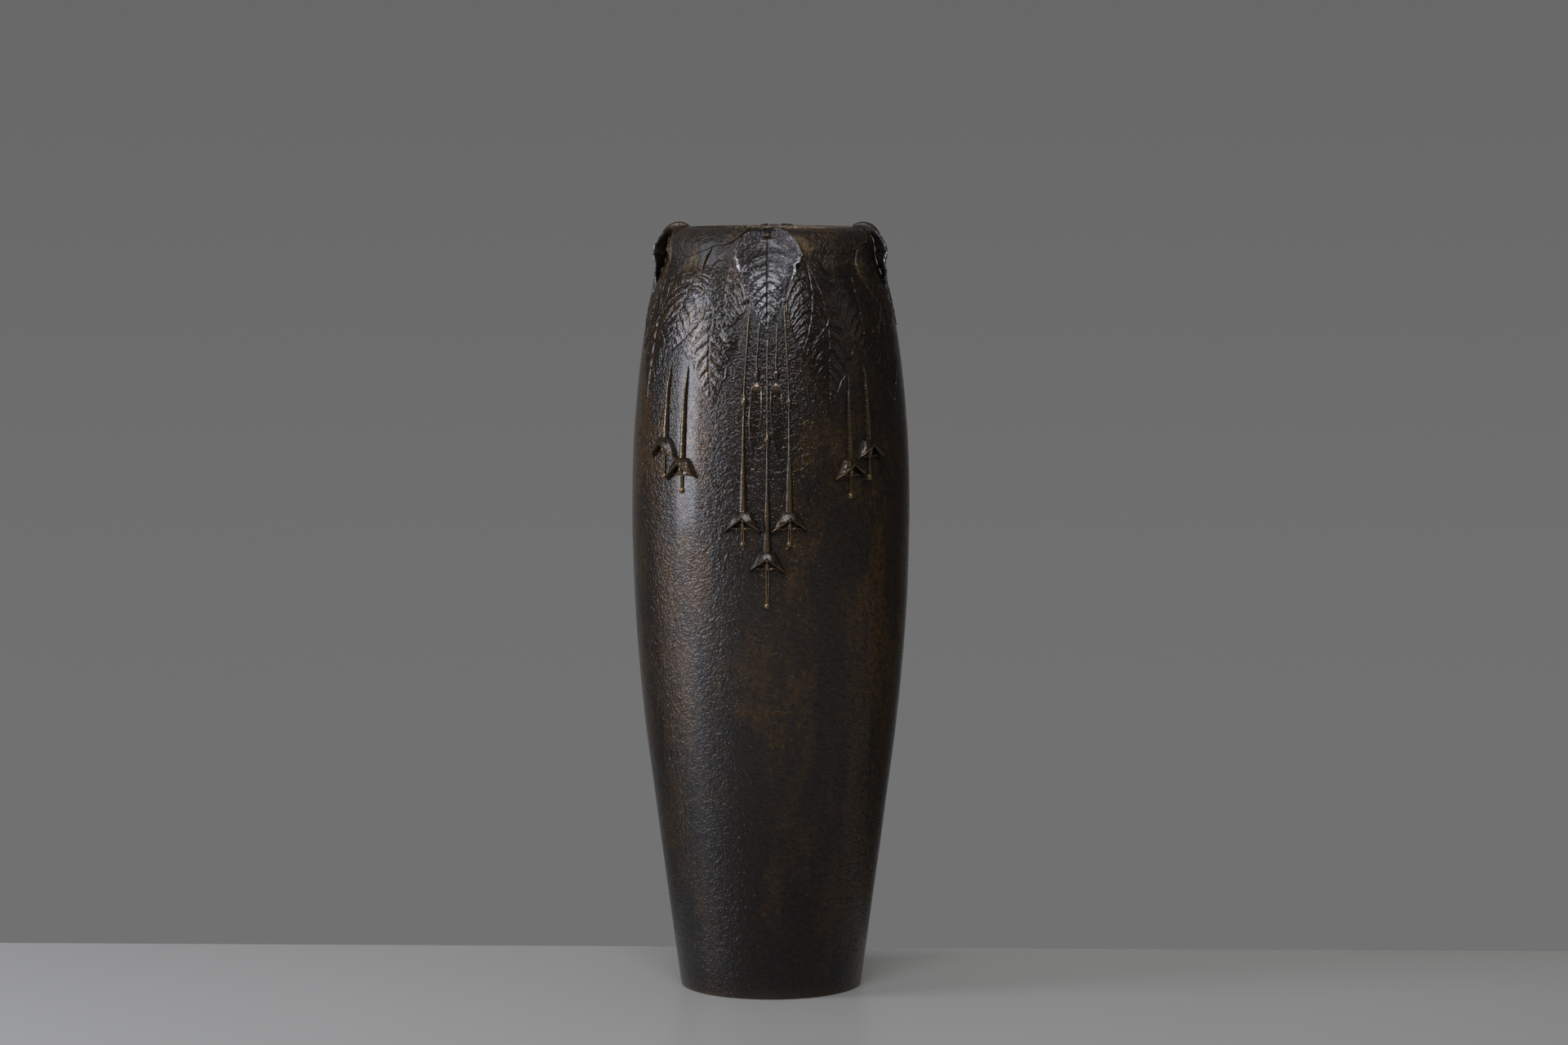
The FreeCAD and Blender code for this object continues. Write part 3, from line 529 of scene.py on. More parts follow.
@dataclass
class LeafSurface:
    """The relief of one leaf, in millimetres: veins, puffed panels, pucker and toothed margins."""

    kind: LeafKind
    length: float
    half_width: float
    seed: int
    first_slope: float = 0.10
    last_slope: float = 1.00
    vein_fall: float = 13.0
    crown: float = 0.25
    ridge_width: float = 0.52
    crease_width: float = 0.42
    crease_shift: float = 0.85
    tooth_rise: float = 0.78

    def __post_init__(self) -> None:
        """Draws the teeth and the strength of each vein from the leaf's own seed."""
        draw = random.Random(self.seed)
        self.form = self.kind.value
        count = self.form.teeth + 9
        self.bites = {side: [draw.uniform(0.1, 1.6) for _ in range(count)] for side in (-1, 1)}
        self.shifts = {side: draw.uniform(-0.25, 0.25) for side in (-1, 1)}
        self.strengths = {side: [draw.uniform(0.60, 1.30) for _ in range(count)]
                          for side in (-1, 1)}
        self.offset = 37.0 * self.seed

    def half(self, along: float, side: int) -> float:
        """Half width on one side at a share of the length, teeth included.

        Args:
            along: share of the leaf's length from its base.
            side: -1 for the left margin and 1 for the right one.

        Returns:
            The half width, in metres.
        """
        form = self.form
        if along < form.widest:
            share = along / form.widest
            width = (1 - (1 - share) ** (1 / form.fullness)) ** form.fullness
        else:
            width = 1 - ((along - form.widest) / (1 - form.widest)) ** form.taper
        phase = along * form.teeth + 0.35 * (side + 1) + self.shifts[side]
        tooth = phase % 1.0
        saw = min(tooth / self.tooth_rise, (1 - tooth) / (1 - self.tooth_rise))
        bite = form.bite * self.bites[side][int(phase) % len(self.bites[side])]
        wave = 0.09 * wobble(along * 7, side * 3.0, self.offset, 1.0)
        return self.half_width * max(width * (1 + wave) - bite * (1 - saw) * width ** 0.4, 0.0)

    def relief(self, along: float, share: float) -> tuple[float, float]:
        """Height in millimetres over the leaf's own layer, and wear, at a place on it.

        A vein leaves the midrib square as a fine crease, falls in an arch and ends as a ridge.

        Args:
            along: share of the length from the base.
            share: share of the half width, negative to the left.

        Returns:
            The height and the wear from 0 to 1.
        """
        form = self.form
        side = 1 if share > 0 else -1
        edge = abs(share)
        x = edge * self.half(along, side) / MM
        y = along * self.length / MM
        slope = mix(self.first_slope, self.last_slope, smooth(0.15, 0.80, along))
        fall = slope * x + self.vein_fall * (x * MM / self.half_width) ** 3.2
        lean = 1.4 * wobble(x, y, self.offset + 5 * side, 9.0)
        phase = (y - fall + lean) / form.vein_spacing + 0.42 * (side > 0) + self.shifts[side]
        index = math.floor(phase)
        off = phase - index - 0.5
        off_vein = off * form.vein_spacing
        broken = clamp(0.74 + 1.0 * wobble(x, y, self.offset + 7 * side, 6.0), 0.0, 1.25)
        strength = self.strengths[side][index % len(self.strengths[side])] * broken
        fade = (1 - edge ** 8) * smooth(0.02, 0.14, along) * smooth(1.0, 0.90, along)
        ridge = hump(off_vein, 0.0, self.ridge_width) * smooth(0.10, 0.50, edge)
        crease = (hump(off_vein, -self.crease_shift, self.crease_width)
                  * smooth(0.95, 0.30, edge))
        groove = hump(x, 0.0, self.crease_width)
        grain = (wobble(share * x, y, self.offset, 2.3)
                 + 0.8 * wobble(share * x, y, self.offset + 9, 1.2))
        height = (fade * strength * form.vein * (ridge - 0.75 * crease)
                  - fade * form.panel * math.cos(off * math.tau)
                  + self.crown * (1 - edge * edge) * smooth(0.0, 0.15, along)
                  - form.midrib * groove * smooth(1.0, 0.92, along) * smooth(0.06, 0.16, along)
                  + form.pucker * grain)
        wear_and_painted_highlight = (0.16 + 0.42 * ridge * strength * fade + 0.30 * grain - 0.30 * groove
                - 0.20 * crease * strength)
        return height, clamp(wear_and_painted_highlight)


@dataclass
class LaidLeaf(Piece):
    """A leaf that lies on the wall in relief, its margins melted into it or standing up."""

    place: tuple
    half_width: float
    kind: LeafKind
    layer: float
    seed: int
    standing: tuple = ()
    stalk: tuple = ()
    melted: float = 0.10
    margin_rise: float = 0.25
    melts_from: tuple = (0.64, 0.90)
    bead: float = 0.35
    bead_place: tuple = (0.96, 0.035)
    stalk_size: float = 0.60 * MM
    stalk_base: float = 0.50 * MM

    def model(self, relief: Relief) -> None:
        """Adds the leaf and, where it has one, its stalk.

        Args:
            relief: the mesh that takes the sheets.
        """
        contour = self.contour
        base_azimuth, middle_azimuth, tip_azimuth, base_share, tip_share = self.place
        base, tip = contour.share_drop(base_share), contour.share_drop(tip_share)
        bend = middle_azimuth - (base_azimuth + tip_azimuth) / 2
        surface = LeafSurface(self.kind, tip - base, self.half_width, self.seed)

        def over(along: float, share: float) -> Place:
            """The leaf's face, which melts into the wall at its margins.

            Args:
                along: share of the way down the sheet, from 0 to 1.
                share: share of the way across it, from -1 to 1.

            Returns:
                The place of the face there.
            """
            centre = mix(base_azimuth, tip_azimuth, along) + bend * 4 * along * (1 - along)
            side = 1 if share > 0 else -1
            edge = abs(share)
            height, wear_and_painted_highlight = surface.relief(along, share)
            raised = self.raised(along, side)
            ends = min(smooth(0.0, 0.16, along), smooth(1.0, 0.93, along))
            body = (self.layer + height) * mix(0.25, 1.0, ends)
            margin = mix(self.melted, self.layer + self.margin_rise, raised)
            bead = raised * hump(edge, *self.bead_place)
            melting = smooth(mix(*self.melts_from, raised), 1.0, edge)
            lift = mix(body, margin, melting) + self.bead * bead
            # The wear share rises on a standing margin's bead: partly abraded bronze, partly a
            # painted highlight along the margin.
            return Place(centre, mix(base, tip, along), max(lift, self.melted) * MM,
                         share * surface.half(along, side), wear_and_painted_highlight + 0.55 * bead)

        relief.sheet(rows=150, columns=84, over=over)
        if self.stalk:
            route = Route(contour, self.stalk)
            relief.sheet(rows=90, columns=8,
                         over=route.twig(self.stalk_size, self.stalk_size, taper=0.15,
                                         base=self.stalk_base, seed=self.seed))

    def raised(self, along: float, side: int) -> float:
        """How far, from 0 to 1, a margin stands up there and isn't melted into the wall.

        Args:
            along: share of the leaf's length from its base.
            side: -1 for the left margin and 1 for the right one.

        Returns:
            The share.
        """
        share = clamp(0.06 + 1.2 * wobble(along * 6, side * 6.0, self.seed * 13.0, 1.0))
        for edge, middle, spread in self.standing:
            if edge == side:
                share = max(share, hump(along, middle, spread))
        return share * smooth(0.10, 0.30, along)


@dataclass
class RimLeaf(Piece):
    """A heart-shaped leaf folded like a gutter over the rim, its margins standing off the wall."""

    seed: int
    half_width: float = 17.4 * MM
    stand_off: float = 8.2 * MM
    thickness: float = 1.3 * MM
    gap: float = 0.5 * MM
    roll_depth: float = 1.5 * MM
    base_share: float = 0.45
    tip_share: float = 0.872
    highest: float = 0.24

    # Where each margin rolls over: how much, and the middle and spread along the leaf.
    ROLLS: ClassVar[dict] = {-1: ((1.0, 0.33, 0.09),),
                             1: ((0.8, 0.40, 0.10), (0.6, 0.60, 0.08))}

    def model(self, relief: Relief) -> None:
        """Adds the leaf, with an underside of its own.

        Args:
            relief: the mesh that takes the sheets.
        """
        contour = self.contour
        base = self.base_share * contour.rim_roll * math.pi / 2
        tip = contour.share_drop(self.tip_share)
        surface = LeafSurface(LeafKind.HEART, tip - base, self.half_width, self.seed)

        def over(along: float, share: float) -> Place:
            """The leaf's face, whose margins rise and roll over.

            Args:
                along: share of the way down the sheet, from 0 to 1.
                share: share of the way across it, from -1 to 1.

            Returns:
                The place of the face there.
            """
            side = 1 if share > 0 else -1
            edge = abs(share)
            height, wear_and_painted_highlight = surface.relief(along, share)
            rolled = self.rolled(along, side)
            turned_in = rolled * smooth(0.80, 1.0, edge)
            seat = mix(self.gap + self.thickness, 0.35 * self.thickness, smooth(0.40, 0.95, along))
            lift = (seat + self.stand_off * self.stand(along) * edge ** 1.9
                    + height * 0.9 * MM - turned_in * self.roll_depth)
            # The margins get more wear share, most where they roll over: partly abraded bronze,
            # partly a painted highlight on the edges.
            return Place(0.0, mix(base, tip, along), lift,
                         share * surface.half(along, side) * (1 - 0.035 * turned_in),
                         wear_and_painted_highlight + (0.25 + 0.9 * rolled) * smooth(0.86, 0.95, edge))

        relief.sheet(rows=160, columns=92, over=over, thickness=self.thickness)

    def stand(self, along: float) -> float:
        """How far the margin stands off the wall, against its most, down the leaf.

        Args:
            along: share of the leaf's length from its base.

        Returns:
            The share, from 0 to 1.
        """
        if along < self.highest:
            return mix(0.35, 1.0, smooth(0.0, self.highest, along))
        return 1.0 - smooth(0.26, 0.66, along)

    def rolled(self, along: float, side: int) -> float:
        """Where the margin rolls over into a bead, which is also painted lighter, a painted
        highlight.
        """
        return sum(much * hump(along, middle, spread)
                   for much, middle, spread in self.ROLLS[side])


@dataclass
class Petiole(Piece):
    """The leaf's stalk: rises from the rim's crest, rides over the leaf's base, cut off square."""

    kept_low: bool = False
    half_width: float = 1.9 * MM
    height: float = 5.6 * MM
    length: float = 13.6 * MM
    start: float = -0.6 * MM
    unevenness: float = 0.12 * MM
    sharpness: ClassVar[float] = PLAIN_SHARPNESS

    def model(self, relief: Relief) -> None:
        """Adds the stalk.

        Args:
            relief: the mesh that takes the sheets.
        """
        def over(along: float, share: float) -> Place:
            """The stalk's back, round and a little uneven.

            Args:
                along: share of the way down the sheet, from 0 to 1.
                share: share of the way across it, from -1 to 1.

            Returns:
                The place of the face there.
            """
            back = math.sin(math.pi / 2 * clamp(along * 1.25)) ** 0.8
            if self.kept_low:
                back = smooth(0.36, 0.96, along)
            width = (self.half_width * mix(0.75, 1.0, smooth(0.0, 0.4, along))
                     * (1 + 0.10 * smooth(0.85, 1.0, along)))
            round_over = arch(share)
            grain = self.unevenness * wobble(share * 3, along * 12, self.turn, 1.0)
            lift = (self.height * back + grain) * mix(0.62, 1.0, round_over)
            return Place(0.0, mix(self.start, self.length, along), lift, share * width,
                         0.25 + 0.5 * smooth(0.9, 1.0, along) + 0.2 * round_over)

        relief.sheet(rows=22, columns=16, over=over)


@dataclass(frozen=True)
class Route:
    """A line over the wall through corners of azimuth and height, which a twig follows."""

    contour: Contour
    corners: tuple
    knots: tuple = (0.22, 0.47, 0.74)
    sway: float = 0.25 * MM

    def at(self, along: float) -> tuple[float, float]:
        """Azimuth and distance down the contour at a share of the route, on a smooth line.

        Args:
            along: the share, from 0 to 1.

        Returns:
            The azimuth and the distance.
        """
        corners = [(azimuth, self.contour.share_drop(share)) for azimuth, share in self.corners]
        place = along * (len(corners) - 1)
        index = min(int(place), len(corners) - 2)
        before = corners[max(index - 1, 0)]
        start, end = corners[index], corners[index + 1]
        after = corners[min(index + 2, len(corners) - 1)]
        share = place - index
        return tuple(0.5 * (2 * q + (r - p) * share + (2 * p - 5 * q + 4 * r - s) * share ** 2
                            + (3 * q - p - 3 * r + s) * share ** 3)
                     for p, q, r, s in zip(before, start, end, after))

    def twig(self, half_width: float, height: float, taper: float, base: float = 0.15 * MM,
             seed: float = 0.0) -> Callable[[float, float], Place]:
        """The top face of a knotty twig along the route.

        Args:
            half_width: half its width at the start.
            height: its height at the start.
            taper: share of its size lost by its end.
            base: how far its foot lies over the wall, where it runs over leaves.
            seed: where its unevenness starts.

        Returns:
            The place of the face at a share along and a share across.
        """
        def over(along: float, share: float) -> Place:
            """The twig's back, square to the route.

            Args:
                along: share of the way down the sheet, from 0 to 1.
                share: share of the way across it, from -1 to 1.

            Returns:
                The place of the face there.
            """
            azimuth, drop = self.at(along)
            behind, ahead = self.at(clamp(along - 0.01)), self.at(clamp(along + 0.01))
            across = math.radians(ahead[0] - behind[0]) * self.contour.at(drop)[0]
            slope = math.atan2(across, ahead[1] - behind[1])
            knot = sum(hump(along, middle, 0.015) for middle in self.knots)
            size = (1 - taper * along) * (1 + 0.4 * knot) * smooth(1.03, 0.90, along)
            size *= 1 + 0.16 * wobble(along * 40, seed, 0.0, 1.0)
            aside = half_width * size * share
            aside += self.sway * wobble(along * 14, seed + 9, 0.0, 1.0)
            crown = arch(share)
            ends = min(smooth(0.0, 0.12, along), smooth(1.0, 0.85, along))
            lift = SEAT + base * ends + height * size * crown
            return Place(azimuth, drop - aside * math.sin(slope), lift, aside * math.cos(slope),
                         0.15 + 0.55 * crown * (0.6 + 0.5 * knot))
        return over


@dataclass
class Twig(Piece):
    """A twig that arches from beside a petiole along the shoulder, knotty and thinning."""

    route: tuple
    half_width: float = 0.80 * MM
    height: float = 0.95 * MM
    taper: float = 0.75

    def model(self, relief: Relief) -> None:
        """Adds the twig.

        Args:
            relief: the mesh that takes the sheets.
        """
        route = Route(self.contour, self.route)
        relief.sheet(rows=110, columns=8,
                     over=route.twig(self.half_width, self.height, self.taper,
                                     seed=self.turn + len(self.name)))


class Station(NamedTuple):
    """A place on a stem: azimuth, distance down, half width and height, in metres."""

    azimuth: float
    drop: float
    half_width: float
    height: float


@dataclass
class HangingStem:
    """A stem with its ovary, as a row of stations that a rounded rod follows."""

    contour: Contour
    top_azimuth: float
    azimuth: float
    top: float
    ovary: float
    half_width: float = 0.72 * MM
    height: float = 0.95 * MM
    ovary_half_length: float = 4.20 * MM
    ovary_half_width: float = 2.00 * MM
    ovary_height: float = 2.2 * MM
    bend: float = 4.0 * MM
    widest: tuple = (-0.6 * MM, 1.2 * MM)

    def stations(self) -> list[Station]:
        """The stations from the stem's top down to the lower end of its ovary.

        Returns:
            The stations, from the top down.
        """
        above, below = self.ovary - self.ovary_half_length, self.ovary + self.ovary_half_length
        neck = 0.85 * self.half_width
        return [
            Station(self.top_azimuth, self.top, 0.8 * self.half_width, 0.12 * self.height),
            Station(self.top_azimuth, self.top + self.bend, self.half_width, self.height),
            Station(self.azimuth, above - self.bend, neck, self.height),
            Station(self.azimuth, above, neck * 1.15, self.height),
            Station(self.azimuth, self.ovary + self.widest[0], self.ovary_half_width,
                    self.ovary_height),
            Station(self.azimuth, self.ovary + self.widest[1], 0.9 * self.ovary_half_width,
                    0.92 * self.ovary_height),
            Station(self.azimuth, below, neck * 1.1, self.height),
        ]


def rod_over(stations: Sequence[Station], wear_and_painted_highlight: float,
             seed: float) -> Callable[[float, float], Place]:
    """The top face of a rounded rod through stations.

    Args:
        stations: places down the rod.
        wear_and_painted_highlight: how abraded its back is; along its crest this share is partly a
            painted highlight.
        seed: where its unevenness starts.

    Returns:
        The place of the face at a share along and a share across.
    """
    first, last = stations[0].drop, stations[-1].drop

    def over(along: float, share: float) -> Place:
        """The rod's back, between the two stations round it.

        Args:
            along: share of the way down the sheet, from 0 to 1.
            share: share of the way across it, from -1 to 1.

        Returns:
            The place of the face there.
        """
        drop = mix(first, last, along)
        index = 0
        while index < len(stations) - 2 and drop > stations[index + 1].drop:
            index += 1
        start, end = stations[index], stations[index + 1]
        step = smooth(start.drop, end.drop, drop)
        width = mix(start.half_width, end.half_width, step)
        height = mix(start.height, end.height, step)
        passed = clamp((drop - start.drop) / (end.drop - start.drop))
        azimuth = mix(start.azimuth, end.azimuth, passed)
        uneven = 1 + 0.07 * wobble(drop / MM, seed, 0.0, 4.0)
        profile = arch(share)
        side = STEM_SWAY * wobble(drop / MM, seed + 50, 0.0, 9.0)
        # The wear share peaks in a narrow line along the crest: partly abraded bronze, partly a
        # painted highlight standing in for the rod's lit edge.
        return Place(azimuth, drop, SEAT + height * uneven * profile,
                     width * uneven * share + side, wear_and_painted_highlight * (0.12 + 1.35 * profile ** 4 * uneven))
    return over


def rod_rows(length: float, step: float) -> int:
    """How many rows a rod's grid has: one for every step of its length, and 40 at least."""
    return max(40, round(length / step))


@dataclass
class Blossom(Piece):
    """A hanging blossom: stem, ovary, flaring tube, open bell of sepals, petals and pistil."""

    place: tuple
    seed: int
    has_ovary: bool = True
    half_width: float = 10.2 * MM
    length: float = 12.0 * MM
    height: float = 4.9 * MM
    skin: float = 0.9 * MM
    tube_half_width: float = 2.5 * MM
    tube_height: float = 2.1 * MM
    tube_overlap: float = 2.5 * MM
    row_length: float = 1.1 * MM
    knob: float = 1.75 * MM
    thread_offset: float = 0.62 * MM
    slot: ClassVar[str] = "blossom"

    # How wide the tube is at shares of its length, below an ovary and without one.
    FLARES: ClassVar[dict] = {True: ((0.35, 0.42), (0.75, 0.78), (1.0, 1.0)),
                              False: ((0.30, 0.50), (0.75, 0.72), (1.0, 0.86))}

    # The column: share of the bell's length, and half width and height in millimetres.
    COLUMN: ClassVar[tuple] = ((0.20, 1.7, 3.1), (0.36, 1.9, 3.4), (0.46, 1.5, 2.9),
                               (0.58, 1.9, 3.0), (0.80, 1.2, 2.0), (0.88, 0.9, 1.3))

    # A thread: share of its distance from the middle, and half width and height in millimetres.
    THREAD: ClassVar[tuple] = ((1.0, 0.50, 1.15), (0.9, 0.46, 1.05), (0.6, 0.55, 1.20))

    def model(self, relief: Relief) -> None:
        """Adds the stem and its tube, and what hangs from their end.

        Args:
            relief: the mesh that takes the sheets.
        """
        top_azimuth, azimuth, *shares = self.place
        top, ovary, crown, end = (self.contour.share_drop(share) for share in shares)
        stations = HangingStem(self.contour, top_azimuth, azimuth, top, ovary).stations()
        if not self.has_ovary:
            stations = stations[:2]
        below = stations[-1].drop
        for share, width in self.FLARES[self.has_ovary]:
            stations.append(Station(azimuth, mix(below, crown, share),
                                    self.tube_half_width * width,
                                    self.tube_height * mix(0.6, 1.0, width)))
        stations.append(Station(azimuth, crown + self.tube_overlap, self.tube_half_width * 1.05,
                                self.tube_height * 1.3))
        relief.sheet(rows=rod_rows(crown - top, self.row_length), columns=10,
                     over=rod_over(stations, wear_and_painted_highlight=0.50, seed=self.seed))
        self.add_bell(relief, azimuth, crown)
        self.add_petals(relief, azimuth, crown)
        column = [Station(azimuth, crown + share * self.length, half_width * MM, height * MM)
                  for share, half_width, height in self.COLUMN]
        relief.sheet(rows=26, columns=14,
                     over=rod_over(column, wear_and_painted_highlight=0.75, seed=self.seed + 3))
        self.add_pistil(relief, azimuth, crown, end)

    def add_bell(self, relief: Relief, azimuth: float, crown: float) -> None:
        """The canopy of sepals: high and open in front, running down to a point on each side.

        Args:
            relief: the mesh that takes the sheets.
            azimuth: degrees round the vase, before the piece's turn.
            crown: distance down the contour to the bell's top.
        """
        lean = 0.04 * ((self.seed * 7) % 5 - 2)

        def over(along: float, share: float) -> Place:
            """The canopy's face, with a bead along its hem.

            Args:
                along: share of the way down the sheet, from 0 to 1.
                share: share of the way across it, from -1 to 1.

            Returns:
                The place of the face there.
            """
            down = along * (0.30 + 0.74 * abs(share) ** 0.85 + lean * share)
            width = (self.half_width * math.sin(math.pi / 2 * share)
                     * (0.40 + 0.62 * clamp(down) ** 0.85))
            dome = math.cos(math.pi / 2 * share) ** 0.7 if abs(share) < 1 else 0.0
            rise = self.height * (0.34 + 0.66 * clamp(down * 2.4) ** 0.6)
            bead = hump(along, 0.93, 0.07) * (1 - abs(share) ** 8)
            rib = hump(abs(share), 0.56, 0.08) * smooth(0.0, 0.5, along)
            grain = 0.08 * wobble(share * 8, along * 8, self.seed, 1.0)
            lift = rise * dome + (0.75 * bead + 0.25 * rib + 0.5 + grain) * MM
            return Place(azimuth, crown + self.length * down, lift, width,
                         0.08 + 0.85 * bead + 0.35 * rib)

        relief.sheet(rows=26, columns=48, over=over, thickness=self.skin)

    def add_petals(self, relief: Relief, azimuth: float, crown: float) -> None:
        """The petals under the bell, whose lower edge hangs in a few shallow scallops.

        Args:
            relief: the mesh that takes the sheets.
            azimuth: degrees round the vase, before the piece's turn.
            crown: distance down the contour to the bell's top.
        """
        def over(along: float, share: float) -> Place:
            """The petals' face, which widens towards its hem.

            Args:
                along: share of the way down the sheet, from 0 to 1.
                share: share of the way across it, from -1 to 1.

            Returns:
                The place of the face there.
            """
            scallop = 0.78 + 0.07 * abs(math.sin(math.pi * 1.5 * share + 0.4))
            down = mix(0.22, scallop, along)
            round_over = math.sqrt(max(1 - share ** 4, 0.0))
            hem = hump(along, 0.95, 0.05)
            lift = (0.25 + 1.25 * round_over * mix(0.6, 1.0, along) + 0.35 * hem) * MM
            return Place(azimuth, crown + self.length * down, lift,
                         self.half_width * 0.86 * share * down ** 0.8, 0.30 + 0.5 * hem)

        relief.sheet(rows=18, columns=30, over=over)

    def add_pistil(self, relief: Relief, azimuth: float, crown: float, end: float) -> None:
        """Two fine threads side by side, and the small knob that they end in.

        Args:
            relief: the mesh that takes the sheets.
            azimuth: degrees round the vase, before the piece's turn.
            crown: distance down the contour to the bell's top.
            end: distance down the contour to the knob's end.
        """
        start, knob = crown + 0.80 * self.length, self.knob
        drops = (start, mix(start, end, 0.6), end - knob)
        for side in (-1, 1):
            apart = side * math.degrees(self.thread_offset / self.contour.at(crown)[0])
            thread = [Station(azimuth + share * apart, drop, half_width * MM, height * MM)
                      for drop, (share, half_width, height) in zip(drops, self.THREAD)]
            relief.sheet(rows=24, columns=8,
                         over=rod_over(thread, wear_and_painted_highlight=0.8, seed=self.seed + side))

        def over(along: float, share: float) -> Place:
            """The knob's face.

            Args:
                along: share of the way down the sheet, from 0 to 1.
                share: share of the way across it, from -1 to 1.

            Returns:
                The place of the face there.
            """
            angle = math.pi * mix(0.06, 0.985, along)
            across = math.sin(angle) ** 0.8
            return Place(azimuth, end - knob - 1.05 * knob * math.cos(angle),
                         (0.2 + 1.9 * across * arch(share)) * MM, 0.92 * knob * across * share,
                         0.95)

        relief.sheet(rows=12, columns=12, over=over)


@dataclass
class Bud(Piece):
    """A closed blossom: stem, ovary and a long dished spindle under an arched rim."""

    place: tuple
    lean: float
    seed: int
    half_width: float = 3.0 * MM
    row_length: float = 1.0 * MM
    shift: float = 1.3 * MM
    slot: ClassVar[str] = "blossom"

    def model(self, relief: Relief) -> None:
        """Adds the stem and the spindle.

        Args:
            relief: the mesh that takes the sheets.
        """
        top_azimuth, azimuth, *shares = self.place
        top, ovary, end = (self.contour.share_drop(share) for share in shares)
        stations = HangingStem(self.contour, top_azimuth, azimuth, top, ovary).stations()
        start = stations[-1].drop
        relief.sheet(rows=rod_rows(ovary - top, self.row_length), columns=10,
                     over=rod_over(stations, wear_and_painted_highlight=0.40, seed=self.seed))

        def over(along: float, share: float) -> Place:
            """The spindle's face, dished between its ridges.

            Args:
                along: share of the way down the sheet, from 0 to 1.
                share: share of the way across it, from -1 to 1.

            Returns:
                The place of the face there.
            """
            opened = math.sqrt(smooth(-0.01, 0.09, along))
            width = opened * (1 + 0.42 * hump(along, 0.42, 0.30)) * (1 - along ** 4) ** 0.8
            ridge = hump(abs(share), 0.86, 0.17) * mix(1.0, 0.45, along)
            brow = hump(along, 0.06, 0.045)
            body = arch(share)
            lift = (0.1 + (0.95 * max(ridge * (1 - abs(share) ** 10), 1.2 * brow * body)
                           + 0.18 * body) * mix(1.0, 0.35, along)) * MM
            shift = self.lean * self.shift * smooth(0.1, 0.9, along)
            return Place(azimuth, mix(start, end, along), lift,
                         self.half_width * width * share + shift,
                         0.1 + 0.85 * max(ridge, brow) * mix(1.0, 0.5, along))

        relief.sheet(rows=70, columns=24, over=over)


class Shade:
    """A number that varies over a surface, on which Python's own operators work."""

    def __init__(self, bench: "NodeBench", socket: bpy.types.NodeSocket) -> None:
        """Holds a socket.

        Args:
            bench: the material's nodes.
            socket: the output that carries the number.
        """
        self.bench = bench
        self.socket = socket

    def _math(self, operation: str, first: object, second: object) -> "Shade":
        """One Math node on two values."""
        return self.bench.node("ShaderNodeMath", {"Value": first, "Value_001": second},
                               operation=operation)

    def __add__(self, other: object) -> "Shade":
        """Sum."""
        return self._math("ADD", self, other)

    def __radd__(self, other: object) -> "Shade":
        """Sum with a number on the left."""
        return self._math("ADD", other, self)

    def __sub__(self, other: object) -> "Shade":
        """Difference."""
        return self._math("SUBTRACT", self, other)

    def __rsub__(self, other: object) -> "Shade":
        """Difference from a number on the left."""
        return self._math("SUBTRACT", other, self)

    def __mul__(self, other: object) -> "Shade":
        """Product."""
        return self._math("MULTIPLY", self, other)

    def __rmul__(self, other: object) -> "Shade":
        """Product with a number on the left."""
        return self._math("MULTIPLY", other, self)


